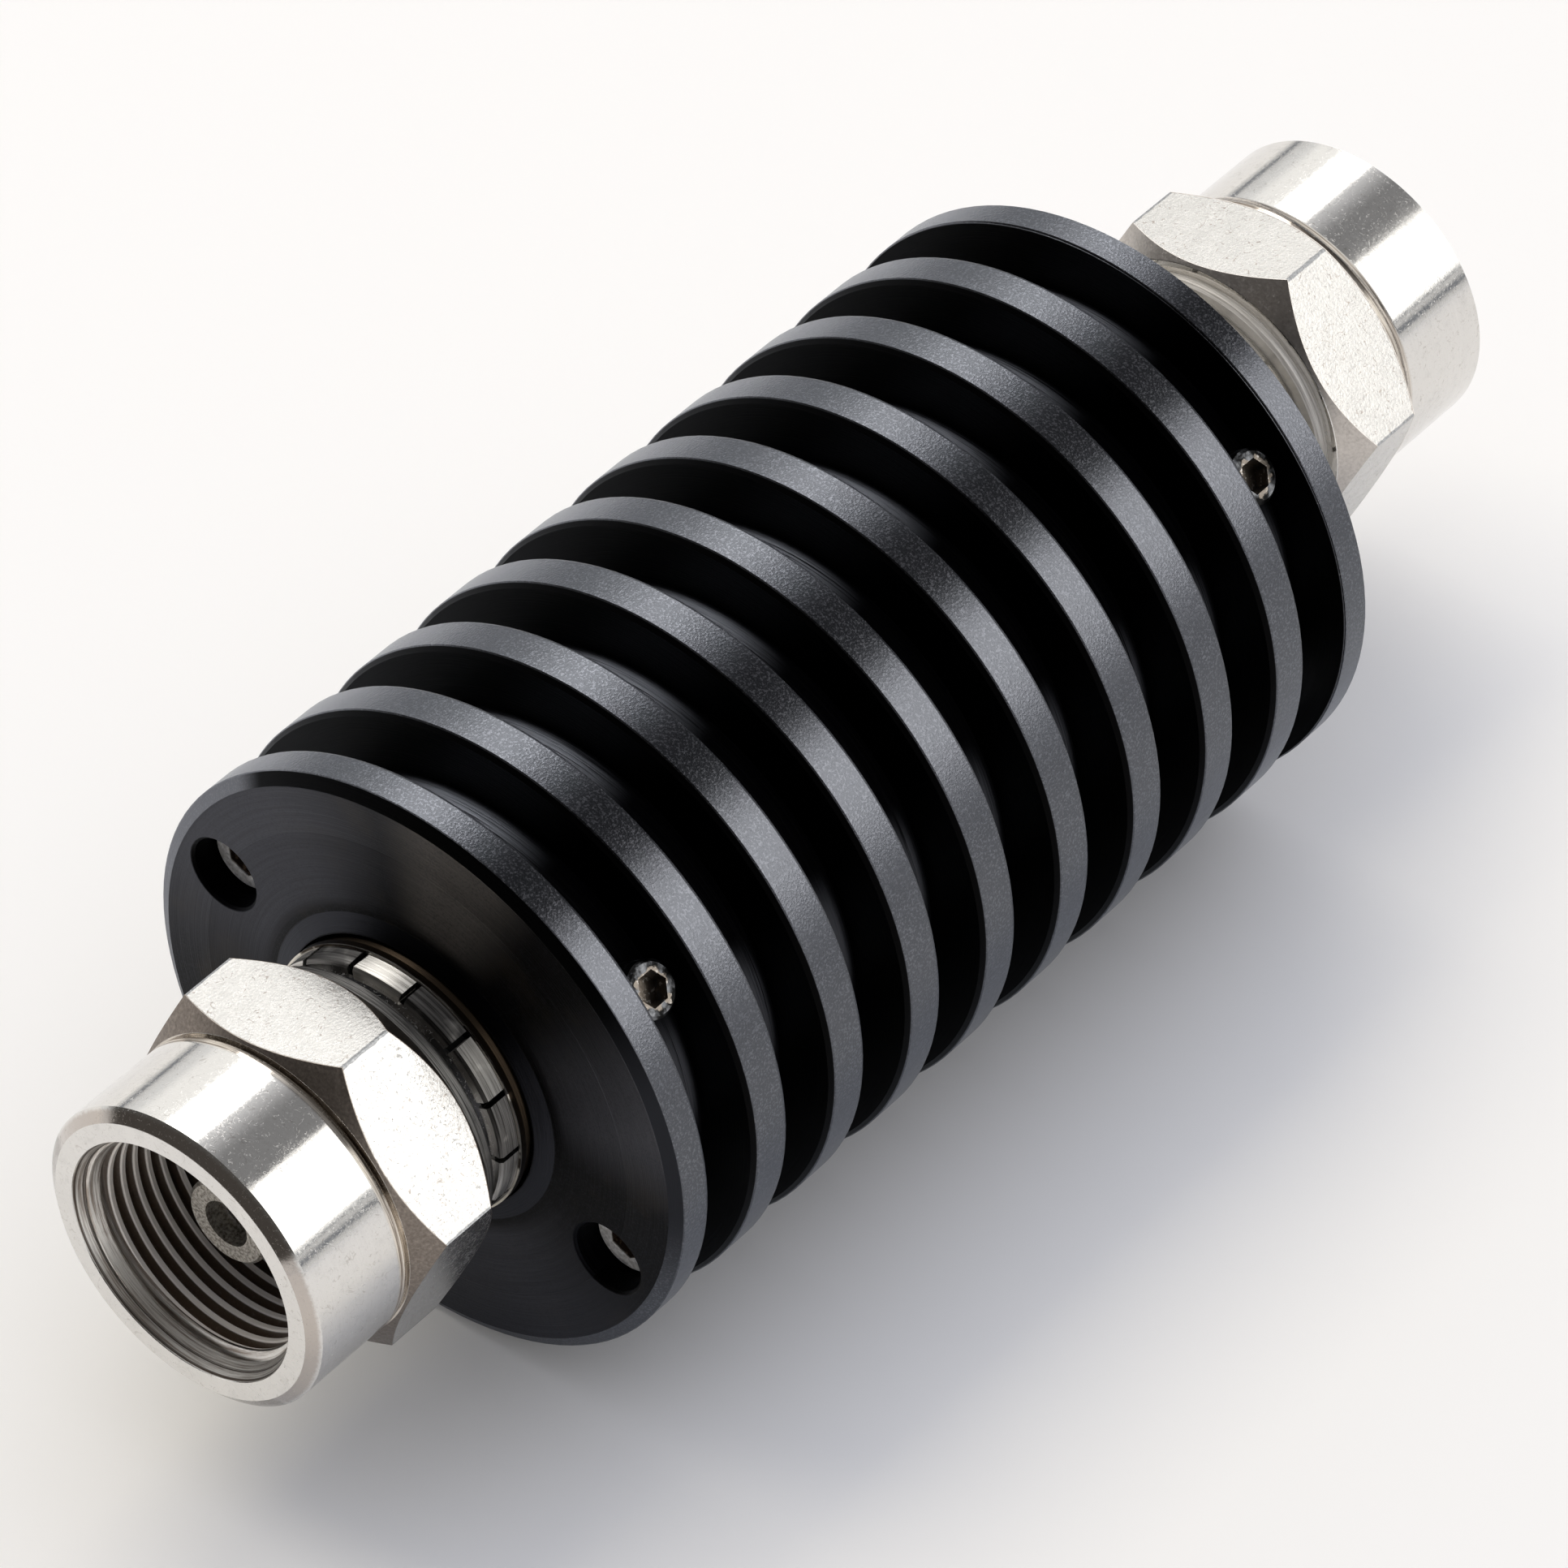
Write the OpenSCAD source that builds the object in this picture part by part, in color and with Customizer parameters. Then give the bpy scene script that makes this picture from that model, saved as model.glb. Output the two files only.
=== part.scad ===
// Coaxial attenuator: a finned heat sink with a free coupling nut on a connector at each end.
// Millimetres. +Z is the axis. z = 0 is the mouth of the far nut, on which the part stands.
// Each end is drawn outward from the outer face of its end plate, where u = 0.

/* [Heat sink] */
// Diameter over the fins and the end plates
fin_d = 40.0; // [36:0.5:46]
// Depth of the gap between two fins
gap_depth = 4.0; // [3:0.5:5]
// Thickness of a fin
fin_t = 2.9; // [2:0.1:4]
// Width of the gap between two fins
fin_gap = 4.2; // [4:0.1:6]
// Fins between the two end plates
fin_count = 8; // [7:1:10]
// Thickness of an end plate
plate_t = 2.6; // [2.4:0.1:4]
// Chamfer on a plate's outer edge, along the axis
plate_edge = 0.5; // [0.3:0.1:1]
// Chamfer on a plate's outer edge, towards the axis
plate_edge_in = 0.86; // [0.3:0.02:1.4]
// Chamfer on the edge of a fin that faces the near end
fin_edge = 0.33; // [0.1:0.01:0.6]
// Chamfer on the edge of a fin that faces the far end
fin_back_edge = 0.1; // [0.05:0.05:0.4]

/* [Plate ring and recess] */
// Outer diameter of the raised ring on a plate
boss_d = 21.5; // [20.5:0.1:24]
// Height of the raised ring above its plate
boss_h = 0.4; // [0.2:0.1:1]
// Diameter of the recess round the connector
recess_d = 18.8; // [18.7:0.1:19.5]
// Depth of the recess below the plate's face
recess_depth = 1.2; // [0.6:0.1:2]

/* [Connector body] */
// Diameter of the stem inside the heat sink
stem_d = 15.8; // [15:0.1:16.4]
// Depth of the stem below the plate's face
stem_depth = 16.0; // [14:0.5:18]
// Chamfer at the inner end of the stem
stem_edge = 0.3; // [0.1:0.1:0.6]
// Diameter of the shoulder behind the nut
shoulder_d = 17.2; // [16.8:0.1:18]
// Diameter of the neck inside the nut
neck_d = 14.4; // [14.2:0.05:14.5]
// Height of the neck above the nut's rear face
neck_h = 3.1; // [2.8:0.1:3.2]
// Bore along the body
line_d = 10.0; // [9:0.1:10.2]
// Length of the collar on the far body
far_collar = 5.64; // [4:0.01:8]

/* [Lock ring] */
// Outer diameter of the slotted ring
ring_d = 18.2; // [17.8:0.1:18.3]
// Length of the ring
ring_len = 4.06; // [3.6:0.01:5]
// Diameter of the lip round the ring
lip_d = 18.6; // [18.3:0.1:19.4]
// Length of the lip
lip_len = 0.5; // [0.3:0.1:0.8]
// Length of the slotted part in front of the lip
slot_len = 1.46; // [1:0.01:2]
// Number of slots
slot_count = 14; // [8:1:18]
// Width of a slot
slot_w = 0.4; // [0.2:0.05:0.8]
// Depth of a slot
slot_depth = 0.6; // [0.3:0.05:0.9]
// Angle of the first slot
slot_turn = -42.3; // [-90:0.1:90]

/* [Coupling nuts] */
// Hexagon across the flats
hex_af = 21.0; // [20.9:0.1:22]
// Length of the hexagon with its chamfers
hex_len = 7.2; // [6.4:0.1:9]
// Diameter of the round barrel
barrel_d = 20.6; // [20:0.1:20.8]
// Length of the near nut's barrel
near_barrel = 7.9; // [7:0.1:9]
// Length of the far nut's barrel
far_barrel = 8.5; // [7:0.1:9]
// Diameter of the foot of the barrel, where the hexagon starts
foot_d = 20.2; // [19.6:0.1:20.4]
// Length of the step at the foot of the barrel
foot_len = 0.2; // [0.1:0.1:0.4]
// Length of the front chamfer on a corner for each millimetre of its depth
front_slope = 0.74; // [0.6:0.01:1]
// Diameter where the rear chamfer ends
rear_d = 20.6; // [20.2:0.1:20.8]
// Diameter of the rim behind the hexagon
rim_d = 19.1; // [18.8:0.1:19.6]
// Length of the near nut's rim
near_rim = 1.4; // [1:0.1:2]
// Length of the far nut's rim
far_rim = 0.7; // [0.5:0.1:2]
// Gap between the near lock ring and its nut
near_gap = 1.04; // [0.6:0.01:1.6]
// Gap between the far lock ring and its nut
far_gap = 0.5; // [0.4:0.01:1.6]
// Outer diameter of the flat ring at the mouth
mouth_flat_d = 19.0; // [18:0.1:19.6]
// Length of the chamfer round the mouth
mouth_edge = 0.6; // [0.3:0.1:1]
// Inner diameter at the mouth
mouth_d = 16.5; // [16.2:0.1:17]
// Depth of the lead-in cone
lead_in = 1.9; // [1.5:0.1:2.5]
// Diameter over the crests of the internal thread
thread_d = 14.74; // [14.66:0.02:14.9]
// Diameter of the relief behind the thread
relief_d = 16.8; // [16.4:0.1:17.2]
// Length of the relief behind the thread
relief_len = 1.7; // [1.5:0.1:2.2]
// Length of the cone between relief and thread
relief_cone = 0.8; // [0.4:0.1:1.2]
// Thickness of the lip behind the snap ring
nut_lip = 1.7; // [1.5:0.1:1.8]
// Radial gap between a turning nut and its neck
run_gap = 0.1; // [0.04:0.02:0.1]
// Gap along the axis between a nut and the faces that hold it
end_gap = 0.1; // [0.05:0.05:0.2]
// Angle of the first corner of the hexagons
hex_turn = -78; // [-90:1:90]

/* [Snap rings and gaskets] */
// Outer diameter of a snap ring
snap_d = 16.0; // [15.6:0.1:16.2]
// Diameter at the bottom of the snap ring's groove
snap_groove_d = 13.2; // [13:0.1:13.6]
// Thickness of a snap ring
snap_t = 0.8; // [0.5:0.1:0.9]
// Width of the opening in a snap ring
snap_open = 2.4; // [1:0.2:4]
// Outer diameter of a gasket
gasket_d = 13.8; // [13:0.1:14]
// Thickness of a gasket
gasket_t = 1.0; // [0.6:0.1:1.5]

/* [Contacts and insulators] */
// Outer diameter of the outer contact sleeve
sleeve_d = 12.0; // [11.4:0.1:12.2]
// Inner diameter of the outer contact sleeve
sleeve_bore = 10.6; // [10.3:0.1:11]
// Depth of the sleeve's seat behind the nut's rear face
sleeve_seat = 1.0; // [0.6:0.1:2]
// Depth of the sleeve's front face below the mouth
sleeve_back = 8.6; // [8:0.1:9.2]
// Depth of the insulator's front face below the sleeve's
insulator_back = 0.2; // [0.1:0.1:1]
// Outer diameter of the centre contact
contact_d = 5.74; // [5.2:0.02:6.2]
// Depth of the contact's face below the mouth
contact_back = 4.0; // [3.5:0.1:4.6]
// Bore of the centre contact
contact_bore = 3.16; // [2.6:0.02:3.4]
// Depth of that bore
contact_bore_depth = 1.3; // [1:0.1:1.8]
// Diameter of the deeper step in the bore
step_bore = 2.5; // [2:0.1:2.5]
// Depth of the deeper step
step_depth = 4.7; // [4:0.1:5.2]
// Depth to which the contact's head is sunk in the insulator
contact_seat = 2.0; // [1:0.1:3]
// Chamfer on the contact's face
contact_edge = 0.2; // [0.1:0.05:0.4]
// Diameter of the contact's stem
pin_d = 3.0; // [2.4:0.1:3.4]
// Diameter of the contact's tail
tail_d = 2.0; // [1.8:0.1:2.2]
// Length of the tail beyond the body
tail_len = 2.2; // [1.6:0.1:2.6]
// Thickness of a rear bead
bead_t = 2.0; // [1:0.1:3]

/* [Cartridge] */
// Diameter of the cartridge
cartridge_d = 14.0; // [13.4:0.1:14.4]
// Depth of the chip's face below the axis
chip_face = 1.0; // [0.95:0.01:1.05]
// Thickness of the chip
chip_t = 1.0; // [0.8:0.1:1.2]
// Width of the chip
chip_w = 9.0; // [6:0.5:9]
// Length of the chip
chip_len = 28.0; // [22:0.5:28]
// Inner diameter of the cover
cover_bore = 10.4; // [10.2:0.1:11]
// Width of a contact tab
tab_w = 2.4; // [1.4:0.1:3]
// Thickness of a contact tab
tab_t = 0.2; // [0.1:0.05:0.3]
// Length of a contact tab
tab_len = 6.8; // [6:0.1:8]
// Distance from the body to the start of a tab
tab_start = 0.8; // [0.6:0.1:1]

/* [Screws] */
// Diameter of a screw in an end plate
plate_screw_d = 4.8; // [4:0.1:4.8]
// Wall between a plate screw's hole and the plate's edge
plate_screw_wall = 1.7; // [1.6:0.1:2.4]
// Angle of the plate screws
plate_screw_turn = 9.4; // [0:0.1:20]
// Depth of a plate screw's face below the plate's face
plate_screw_back = 1.9; // [1:0.1:2]
// Length of a plate screw
plate_screw_len = 2.5; // [2:0.1:3]
// Socket of a plate screw across the flats
plate_socket = 2.5; // [2:0.1:2.6]
// Depth of that socket
plate_socket_depth = 1.5; // [0.8:0.1:1.6]
// Chamfer at the mouth of a plate screw's hole
screw_mouth = 0.2; // [0.1:0.05:0.3]
// Diameter of a clamp screw's head
clamp_head_d = 3.56; // [3:0.02:3.8]
// Height of a clamp screw's head
clamp_head_h = 2.5; // [2:0.1:3]
// Depth of the head's seat below the core's surface
clamp_seat_depth = 0.15; // [0.1:0.05:1.4]
// Clearance round the head's seat
clamp_seat_gap = 0.12; // [0.05:0.01:0.15]
// Diameter of a clamp screw's shank
clamp_shank_d = 2.18; // [1.8:0.02:2.6]
// Gap between a clamp screw's tip and the stem
clamp_tip_gap = 0.05; // [0.05:0.05:0.3]
// Socket of a clamp screw across the flats
clamp_socket = 1.98; // [1.5:0.02:2]
// Depth of that socket
clamp_socket_depth = 1.2; // [0.8:0.1:1.6]
// Angle of the clamp screws
clamp_turn = -107; // [-180:1:0]
// Chamfer on a screw's edges
screw_edge = 0.2; // [0.1:0.05:0.3]

/* [Hidden] */
$fn = 96;
eps = 1;
core_d = fin_d - 2 * gap_depth;
fin_step = fin_t + fin_gap;
sink_len = 2 * plate_t + fin_count * fin_t + (fin_count + 1) * fin_gap;
ring_top = ring_len - recess_depth;
corner_r = hex_af / 2 / cos(30);
front_len = (corner_r - foot_d / 2) * front_slope;
rear_len = corner_r - rear_d / 2;
corner_len = hex_len - front_len - rear_len;
near_nut_len = near_barrel + hex_len + near_rim;
far_nut_len = far_barrel + hex_len + far_rim;
near_rear = ring_top + near_gap;
far_rear = ring_top + far_collar + far_gap;
near_mouth = near_rear + near_nut_len;
far_mouth = far_rear + far_nut_len;
far_face = far_mouth;
near_face = far_face + sink_len;
snap_at = nut_lip + end_gap;
cartridge_len = sink_len - 2 * stem_depth;
middle = far_face + sink_len / 2;
base_at = chip_face + chip_t;
clamp_at = plate_t + fin_gap / 2;
clamp_seat_at = core_d / 2 - clamp_seat_depth;
plate_screw_at = (fin_d - plate_screw_d) / 2 - plate_screw_wall;
screw_hole_depth = plate_screw_back + plate_screw_len;

anodised = [0.10, 0.10, 0.11];
nickel = [0.80, 0.79, 0.76];
steel = [0.66, 0.66, 0.65];
spring_steel = [0.55, 0.54, 0.52];
seal = [0.16, 0.10, 0.08];
insulation = [0.20, 0.19, 0.18];
gold = [0.83, 0.68, 0.36];
ceramic = [0.93, 0.92, 0.88];
plain_metal = [0.72, 0.73, 0.74];

module at_near() {
    translate([0, 0, near_face])
        children();
}

module at_far() {
    translate([0, 0, far_face])
        mirror([0, 0, 1])
            children();
}

// A round bar between two heights
module bar(d, low, high) {
    translate([0, 0, low])
        cylinder(h = high - low, d = d);
}

// A round bar with a chamfer at its top
module topped_bar(d, low, high, edge) {
    rotate_extrude()
        polygon([[0, low], [d / 2, low], [d / 2, high - edge], [d / 2 - edge, high], [0, high]]);
}

// A hexagonal hole or bar between two heights
module hexagon(af, low, high) {
    translate([0, 0, low])
        cylinder(h = high - low, r = af / 2 / cos(30), $fn = 6);
}

// Turns a piece drawn along Z so that it points outward in the middle of an end gap
module outward() {
    translate([0, 0, -clamp_at])
        rotate([0, 0, clamp_turn])
            rotate([0, 90, 0])
                children();
}

module at_plate_screws() {
    for (turn = [0, 180])
        rotate([0, 0, plate_screw_turn + turn])
            translate([plate_screw_at, 0, 0])
                children();
}

// One fin, its upper face at z = 0
module fin() {
    rotate_extrude()
        polygon([
            [0, 0], [fin_d / 2 - fin_edge, 0], [fin_d / 2, -fin_edge],
            [fin_d / 2, fin_back_edge - fin_t], [fin_d / 2 - fin_back_edge, -fin_t], [0, -fin_t]
        ]);
}

// An end plate with its raised ring, its outer face at u = 0
module end_plate() {
    rotate_extrude()
        polygon([
            [0, boss_h], [recess_d / 2, boss_h], [boss_d / 2, 0],
            [fin_d / 2 - plate_edge_in, 0], [fin_d / 2, -plate_edge],
            [fin_d / 2, fin_back_edge - plate_t], [fin_d / 2 - fin_back_edge, -plate_t], [0, -plate_t]
        ]);
}

// The holes at one end of the heat sink
module sink_holes() {
    bar(recess_d, -recess_depth, boss_h + eps);
    bar(stem_d, -stem_depth, eps);
    at_plate_screws() {
        bar(plate_screw_d, -screw_hole_depth, eps);
        translate([0, 0, -screw_mouth])
            cylinder(h = screw_mouth + eps, r1 = plate_screw_d / 2, r2 = plate_screw_d / 2 + screw_mouth + eps);
    }
    outward() {
        bar(clamp_shank_d, stem_d / 4, clamp_seat_at + eps);
        bar(clamp_head_d + 2 * clamp_seat_gap, clamp_seat_at, fin_d);
    }
}

module heat_sink() {
    color(anodised)
        difference() {
            union() {
                bar(core_d, far_face + plate_t / 2, near_face - plate_t / 2);
                at_near()
                    end_plate();
                at_far()
                    end_plate();
                for (i = [0 : fin_count - 1])
                    translate([0, 0, near_face - plate_t - fin_gap - i * fin_step])
                        fin();
            }
            bar(cartridge_d, far_face, near_face);
            at_near()
                sink_holes();
            at_far()
                sink_holes();
        }
}

// A coupling nut, its rear face at z = 0 and its mouth at z = total
module nut(barrel, rim) {
    total = barrel + hex_len + rim;
    lip_r = neck_d / 2 + run_gap;
    thread_r = thread_d / 2;
    relief_r = relief_d / 2;
    relief_end = nut_lip + relief_len;
    color(nickel)
        rotate([0, 0, hex_turn])
            intersection() {
                hexagon(hex_af, -eps, total + eps);
                rotate_extrude()
                    polygon([
                        [lip_r, 0], [rim_d / 2 - foot_len, 0], [rim_d / 2, foot_len],
                        [rim_d / 2, rim], [rear_d / 2, rim], [corner_r + eps, rim + rear_len + eps],
                        [corner_r + eps, rim + rear_len + corner_len - eps * front_slope],
                        [foot_d / 2, rim + hex_len], [barrel_d / 2, rim + hex_len + foot_len],
                        [barrel_d / 2, total - mouth_edge], [mouth_flat_d / 2, total],
                        [mouth_d / 2, total], [thread_r, total - lead_in],
                        [thread_r, relief_end + relief_cone], [relief_r, relief_end],
                        [relief_r, nut_lip], [lip_r, nut_lip]
                    ]);
            }
}

// An open spring ring in the neck's groove, measured from the nut's rear face
module snap_ring() {
    color(spring_steel)
        difference() {
            bar(snap_d, snap_at, snap_at + snap_t);
            bar(snap_groove_d, snap_at - eps, snap_at + snap_t + eps);
            translate([0, -snap_open / 2, snap_at - eps])
                cube([snap_d, snap_open, snap_t + 2 * eps]);
        }
}

// A connector body whose nut has its rear face at u = rear
module connector_body(collar, rear) {
    top = rear + neck_h;
    color(nickel)
        difference() {
            union() {
                mirror([0, 0, 1])
                    topped_bar(stem_d, -ring_top - collar, stem_depth, stem_edge);
                if (collar > 0)
                    bar(ring_d, -recess_depth, collar - recess_depth);
                bar(shoulder_d, ring_top + collar, rear - end_gap);
                bar(neck_d, rear - end_gap - stem_edge, top);
            }
            bar(line_d, -stem_depth - eps, top + eps);
            bar(sleeve_d, rear - sleeve_seat, top + eps);
            difference() {
                bar(shoulder_d, rear + snap_at, rear + snap_at + snap_t);
                bar(snap_groove_d, rear, top);
            }
        }
}

// The slotted ring, its foot at z = 0
module lock_ring() {
    lip_top = ring_len - slot_len;
    color(nickel)
        difference() {
            union() {
                topped_bar(ring_d, 0, ring_len, foot_len);
                bar(lip_d, lip_top - lip_len, lip_top);
            }
            bar(stem_d, -eps, ring_len + eps);
            for (i = [0 : slot_count - 1])
                rotate([0, 0, slot_turn - i * 360 / slot_count])
                    translate([ring_d / 2 - slot_depth, -slot_w / 2, lip_top])
                        cube([slot_depth + eps, slot_w, slot_len + eps]);
        }
}

module gasket(rear) {
    color(seal)
        difference() {
            bar(gasket_d, rear + neck_h, rear + neck_h + gasket_t);
            bar(sleeve_d, rear, rear + neck_h + gasket_t + eps);
        }
}

module outer_contact(rear, mouth) {
    color(nickel)
        difference() {
            topped_bar(sleeve_d, rear - sleeve_seat, mouth - sleeve_back, contact_edge);
            bar(sleeve_bore, rear - sleeve_seat - eps, mouth);
        }
}

module insulator(rear, mouth) {
    top = mouth - sleeve_back - insulator_back;
    color(insulation)
        difference() {
            bar(sleeve_bore, rear - sleeve_seat, top);
            bar(pin_d, rear - sleeve_seat - eps, top + eps);
            bar(contact_d, top - contact_seat, top + eps);
        }
}

module center_contact(mouth) {
    face = mouth - contact_back;
    head = mouth - sleeve_back - insulator_back - contact_seat;
    end = -stem_depth - tail_len;
    color(gold)
        difference() {
            union() {
                topped_bar(contact_d, head, face, contact_edge);
                bar(pin_d, -stem_depth, head + contact_edge);
                bar(tail_d, end, -stem_depth + contact_edge);
            }
            bar(contact_bore, face - contact_bore_depth, face + eps);
            bar(step_bore, face - contact_bore_depth - step_depth, face);
            translate([-tail_d, tab_t - chip_face - tail_d, end - eps])
                cube([2 * tail_d, tail_d, eps + tail_len - tab_start + contact_edge]);
        }
}

module rear_bead() {
    color(insulation)
        difference() {
            bar(line_d, -stem_depth, bead_t - stem_depth);
            bar(pin_d, -stem_depth - eps, bead_t - stem_depth + eps);
        }
}

module plate_screws() {
    color(steel)
        at_plate_screws()
            difference() {
                topped_bar(plate_screw_d, -screw_hole_depth, -plate_screw_back, screw_edge);
                hexagon(plate_socket, -plate_screw_back - plate_socket_depth, eps);
            }
}

module clamp_screw() {
    head_top = clamp_seat_at + clamp_head_h;
    color(steel)
        outward()
            difference() {
                union() {
                    topped_bar(clamp_head_d, clamp_seat_at, head_top, screw_edge);
                    bar(clamp_shank_d, stem_d / 2 + clamp_tip_gap, clamp_seat_at + screw_edge);
                }
                hexagon(clamp_socket, head_top - clamp_socket_depth, head_top + eps);
            }
}

module contact_tab() {
    color(gold)
        translate([-tab_w / 2, -chip_face, -stem_depth - tab_start - tab_len])
            cube([tab_w, tab_t, tab_len]);
}

module chip_carrier() {
    color(plain_metal)
        difference() {
            bar(cartridge_d, middle - cartridge_len / 2, middle + cartridge_len / 2);
            translate([-cartridge_d, -base_at, middle - cartridge_len])
                cube([2 * cartridge_d, cartridge_d, 2 * cartridge_len]);
        }
}

module carrier_cover() {
    color(plain_metal)
        difference() {
            bar(cartridge_d, middle - cartridge_len / 2, middle + cartridge_len / 2);
            bar(cover_bore, middle - cartridge_len, middle + cartridge_len);
            translate([-cartridge_d, -base_at - cartridge_d, middle - cartridge_len])
                cube([2 * cartridge_d, cartridge_d, 2 * cartridge_len]);
        }
}

module attenuator_chip() {
    color(ceramic)
        translate([-chip_w / 2, -base_at, middle - chip_len / 2])
            cube([chip_w, chip_t, chip_len]);
}

module near_coupling_nut() {
    at_near()
        translate([0, 0, near_rear])
            nut(near_barrel, near_rim);
}

module near_snap_ring() {
    at_near()
        translate([0, 0, near_rear])
            snap_ring();
}

module near_connector_body() {
    at_near()
        connector_body(0, near_rear);
}

module near_lock_ring() {
    at_near()
        translate([0, 0, -recess_depth])
            lock_ring();
}

module near_gasket() {
    at_near()
        gasket(near_rear);
}

module near_outer_contact() {
    at_near()
        outer_contact(near_rear, near_mouth);
}

module near_insulator() {
    at_near()
        insulator(near_rear, near_mouth);
}

module near_center_contact() {
    at_near()
        center_contact(near_mouth);
}

module near_rear_bead() {
    at_near()
        rear_bead();
}

module near_plate_screws() {
    at_near()
        plate_screws();
}

module near_clamp_screw() {
    at_near()
        clamp_screw();
}

module near_contact_tab() {
    at_near()
        contact_tab();
}

module far_coupling_nut() {
    at_far()
        translate([0, 0, far_rear])
            nut(far_barrel, far_rim);
}

module far_snap_ring() {
    at_far()
        translate([0, 0, far_rear])
            snap_ring();
}

module far_connector_body() {
    at_far()
        connector_body(far_collar, far_rear);
}

module far_lock_ring() {
    at_far()
        translate([0, 0, far_collar - recess_depth])
            lock_ring();
}

module far_gasket() {
    at_far()
        gasket(far_rear);
}

module far_outer_contact() {
    at_far()
        outer_contact(far_rear, far_mouth);
}

module far_insulator() {
    at_far()
        insulator(far_rear, far_mouth);
}

module far_center_contact() {
    at_far()
        center_contact(far_mouth);
}

module far_rear_bead() {
    at_far()
        rear_bead();
}

module far_plate_screws() {
    at_far()
        plate_screws();
}

module far_clamp_screw() {
    at_far()
        clamp_screw();
}

module far_contact_tab() {
    at_far()
        contact_tab();
}

heat_sink();
near_coupling_nut();
near_snap_ring();
near_connector_body();
near_lock_ring();
near_gasket();
near_outer_contact();
near_insulator();
near_center_contact();
near_rear_bead();
near_plate_screws();
near_clamp_screw();
far_coupling_nut();
far_snap_ring();
far_connector_body();
far_lock_ring();
far_gasket();
far_outer_contact();
far_insulator();
far_center_contact();
far_rear_bead();
far_plate_screws();
far_clamp_screw();
chip_carrier();
carrier_cover();
attenuator_chip();
near_contact_tab();
far_contact_tab();
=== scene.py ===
import math
import bmesh
import bpy
from mathutils import Matrix, Vector


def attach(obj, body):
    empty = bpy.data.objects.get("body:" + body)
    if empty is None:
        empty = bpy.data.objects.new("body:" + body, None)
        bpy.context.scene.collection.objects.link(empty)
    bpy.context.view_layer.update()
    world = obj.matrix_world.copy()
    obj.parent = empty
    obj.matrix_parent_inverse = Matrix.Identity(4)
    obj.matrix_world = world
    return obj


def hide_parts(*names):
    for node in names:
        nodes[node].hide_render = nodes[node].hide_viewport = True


# %% [markdown]
# The part is a coaxial attenuator: a black finned heat sink with a connector and a free coupling nut at
# each end. Its shape comes from the packed CAD model. This script adds what CAD leaves plain: threads,
# finishes, light and a camera. CAD works in millimetres and Blender in metres, so lengths are written in
# millimetres and multiplied by MM.

# %% load the frame
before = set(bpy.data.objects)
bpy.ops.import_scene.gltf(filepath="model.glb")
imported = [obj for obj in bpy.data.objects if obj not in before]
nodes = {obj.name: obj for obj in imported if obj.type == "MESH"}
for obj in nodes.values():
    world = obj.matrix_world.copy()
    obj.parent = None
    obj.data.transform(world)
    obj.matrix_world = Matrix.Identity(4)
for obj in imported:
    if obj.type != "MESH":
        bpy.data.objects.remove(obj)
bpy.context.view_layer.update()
MM = 0.001
# half the part's length, which both nuts are measured from
MIDDLE_Z = 56.0
scene = bpy.context.scene

# %% [markdown]
# The photograph looks down at the part while it lies on its fins, and the frame has it standing on its far
# nut. The part could be laid down, but CAD pieces are never moved here, so the camera is rolled instead:
# its right and up directions are written in the frame's own axes. A long lens from 0.6 m away gives the
# weak perspective of a product photograph.

# %% camera
CAMERA_PLACE = Vector((0.0, -449.0, 366.2)) * MM
CAMERA_RIGHT = Vector((-0.6428, -0.4339, -0.6313))
CAMERA_UP = Vector((0.7660, -0.3615, -0.5315))
LENS = 207.85
SENSOR = 36.0
NEAREST, FURTHEST = 0.01, 20.0


def turned(right, up, place):
    """A matrix at a place whose X is right, whose Y is up, and which looks along its own -Z."""
    x = right.normalized()
    z = x.cross(up).normalized()
    y = z.cross(x)
    turn = Matrix((x, y, z)).transposed().to_4x4()
    return Matrix.Translation(place) @ turn


camera_data = bpy.data.cameras.new("photo_camera")
camera_data.lens = LENS
camera_data.sensor_width = SENSOR
camera_data.clip_start = NEAREST
camera_data.clip_end = FURTHEST
camera = bpy.data.objects.new("photo_camera", camera_data)
camera.matrix_world = turned(CAMERA_RIGHT, CAMERA_UP, CAMERA_PLACE)
scene.collection.objects.link(camera)
scene.camera = camera
print("camera at", [round(v, 3) for v in camera.location])

# %% [markdown]
# A finish is a small program made of nodes. It could be wired by hand, one node and one link at a time,
# which is long to read. A Pen does it instead: each of its methods adds a node to one tree, feeds its
# inputs with numbers, colours or other nodes' sockets, and returns the socket of the result. So a mask such
# as "beyond 9 mm and below the edge" is written like a sum.

# %% a pen for nodes


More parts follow.
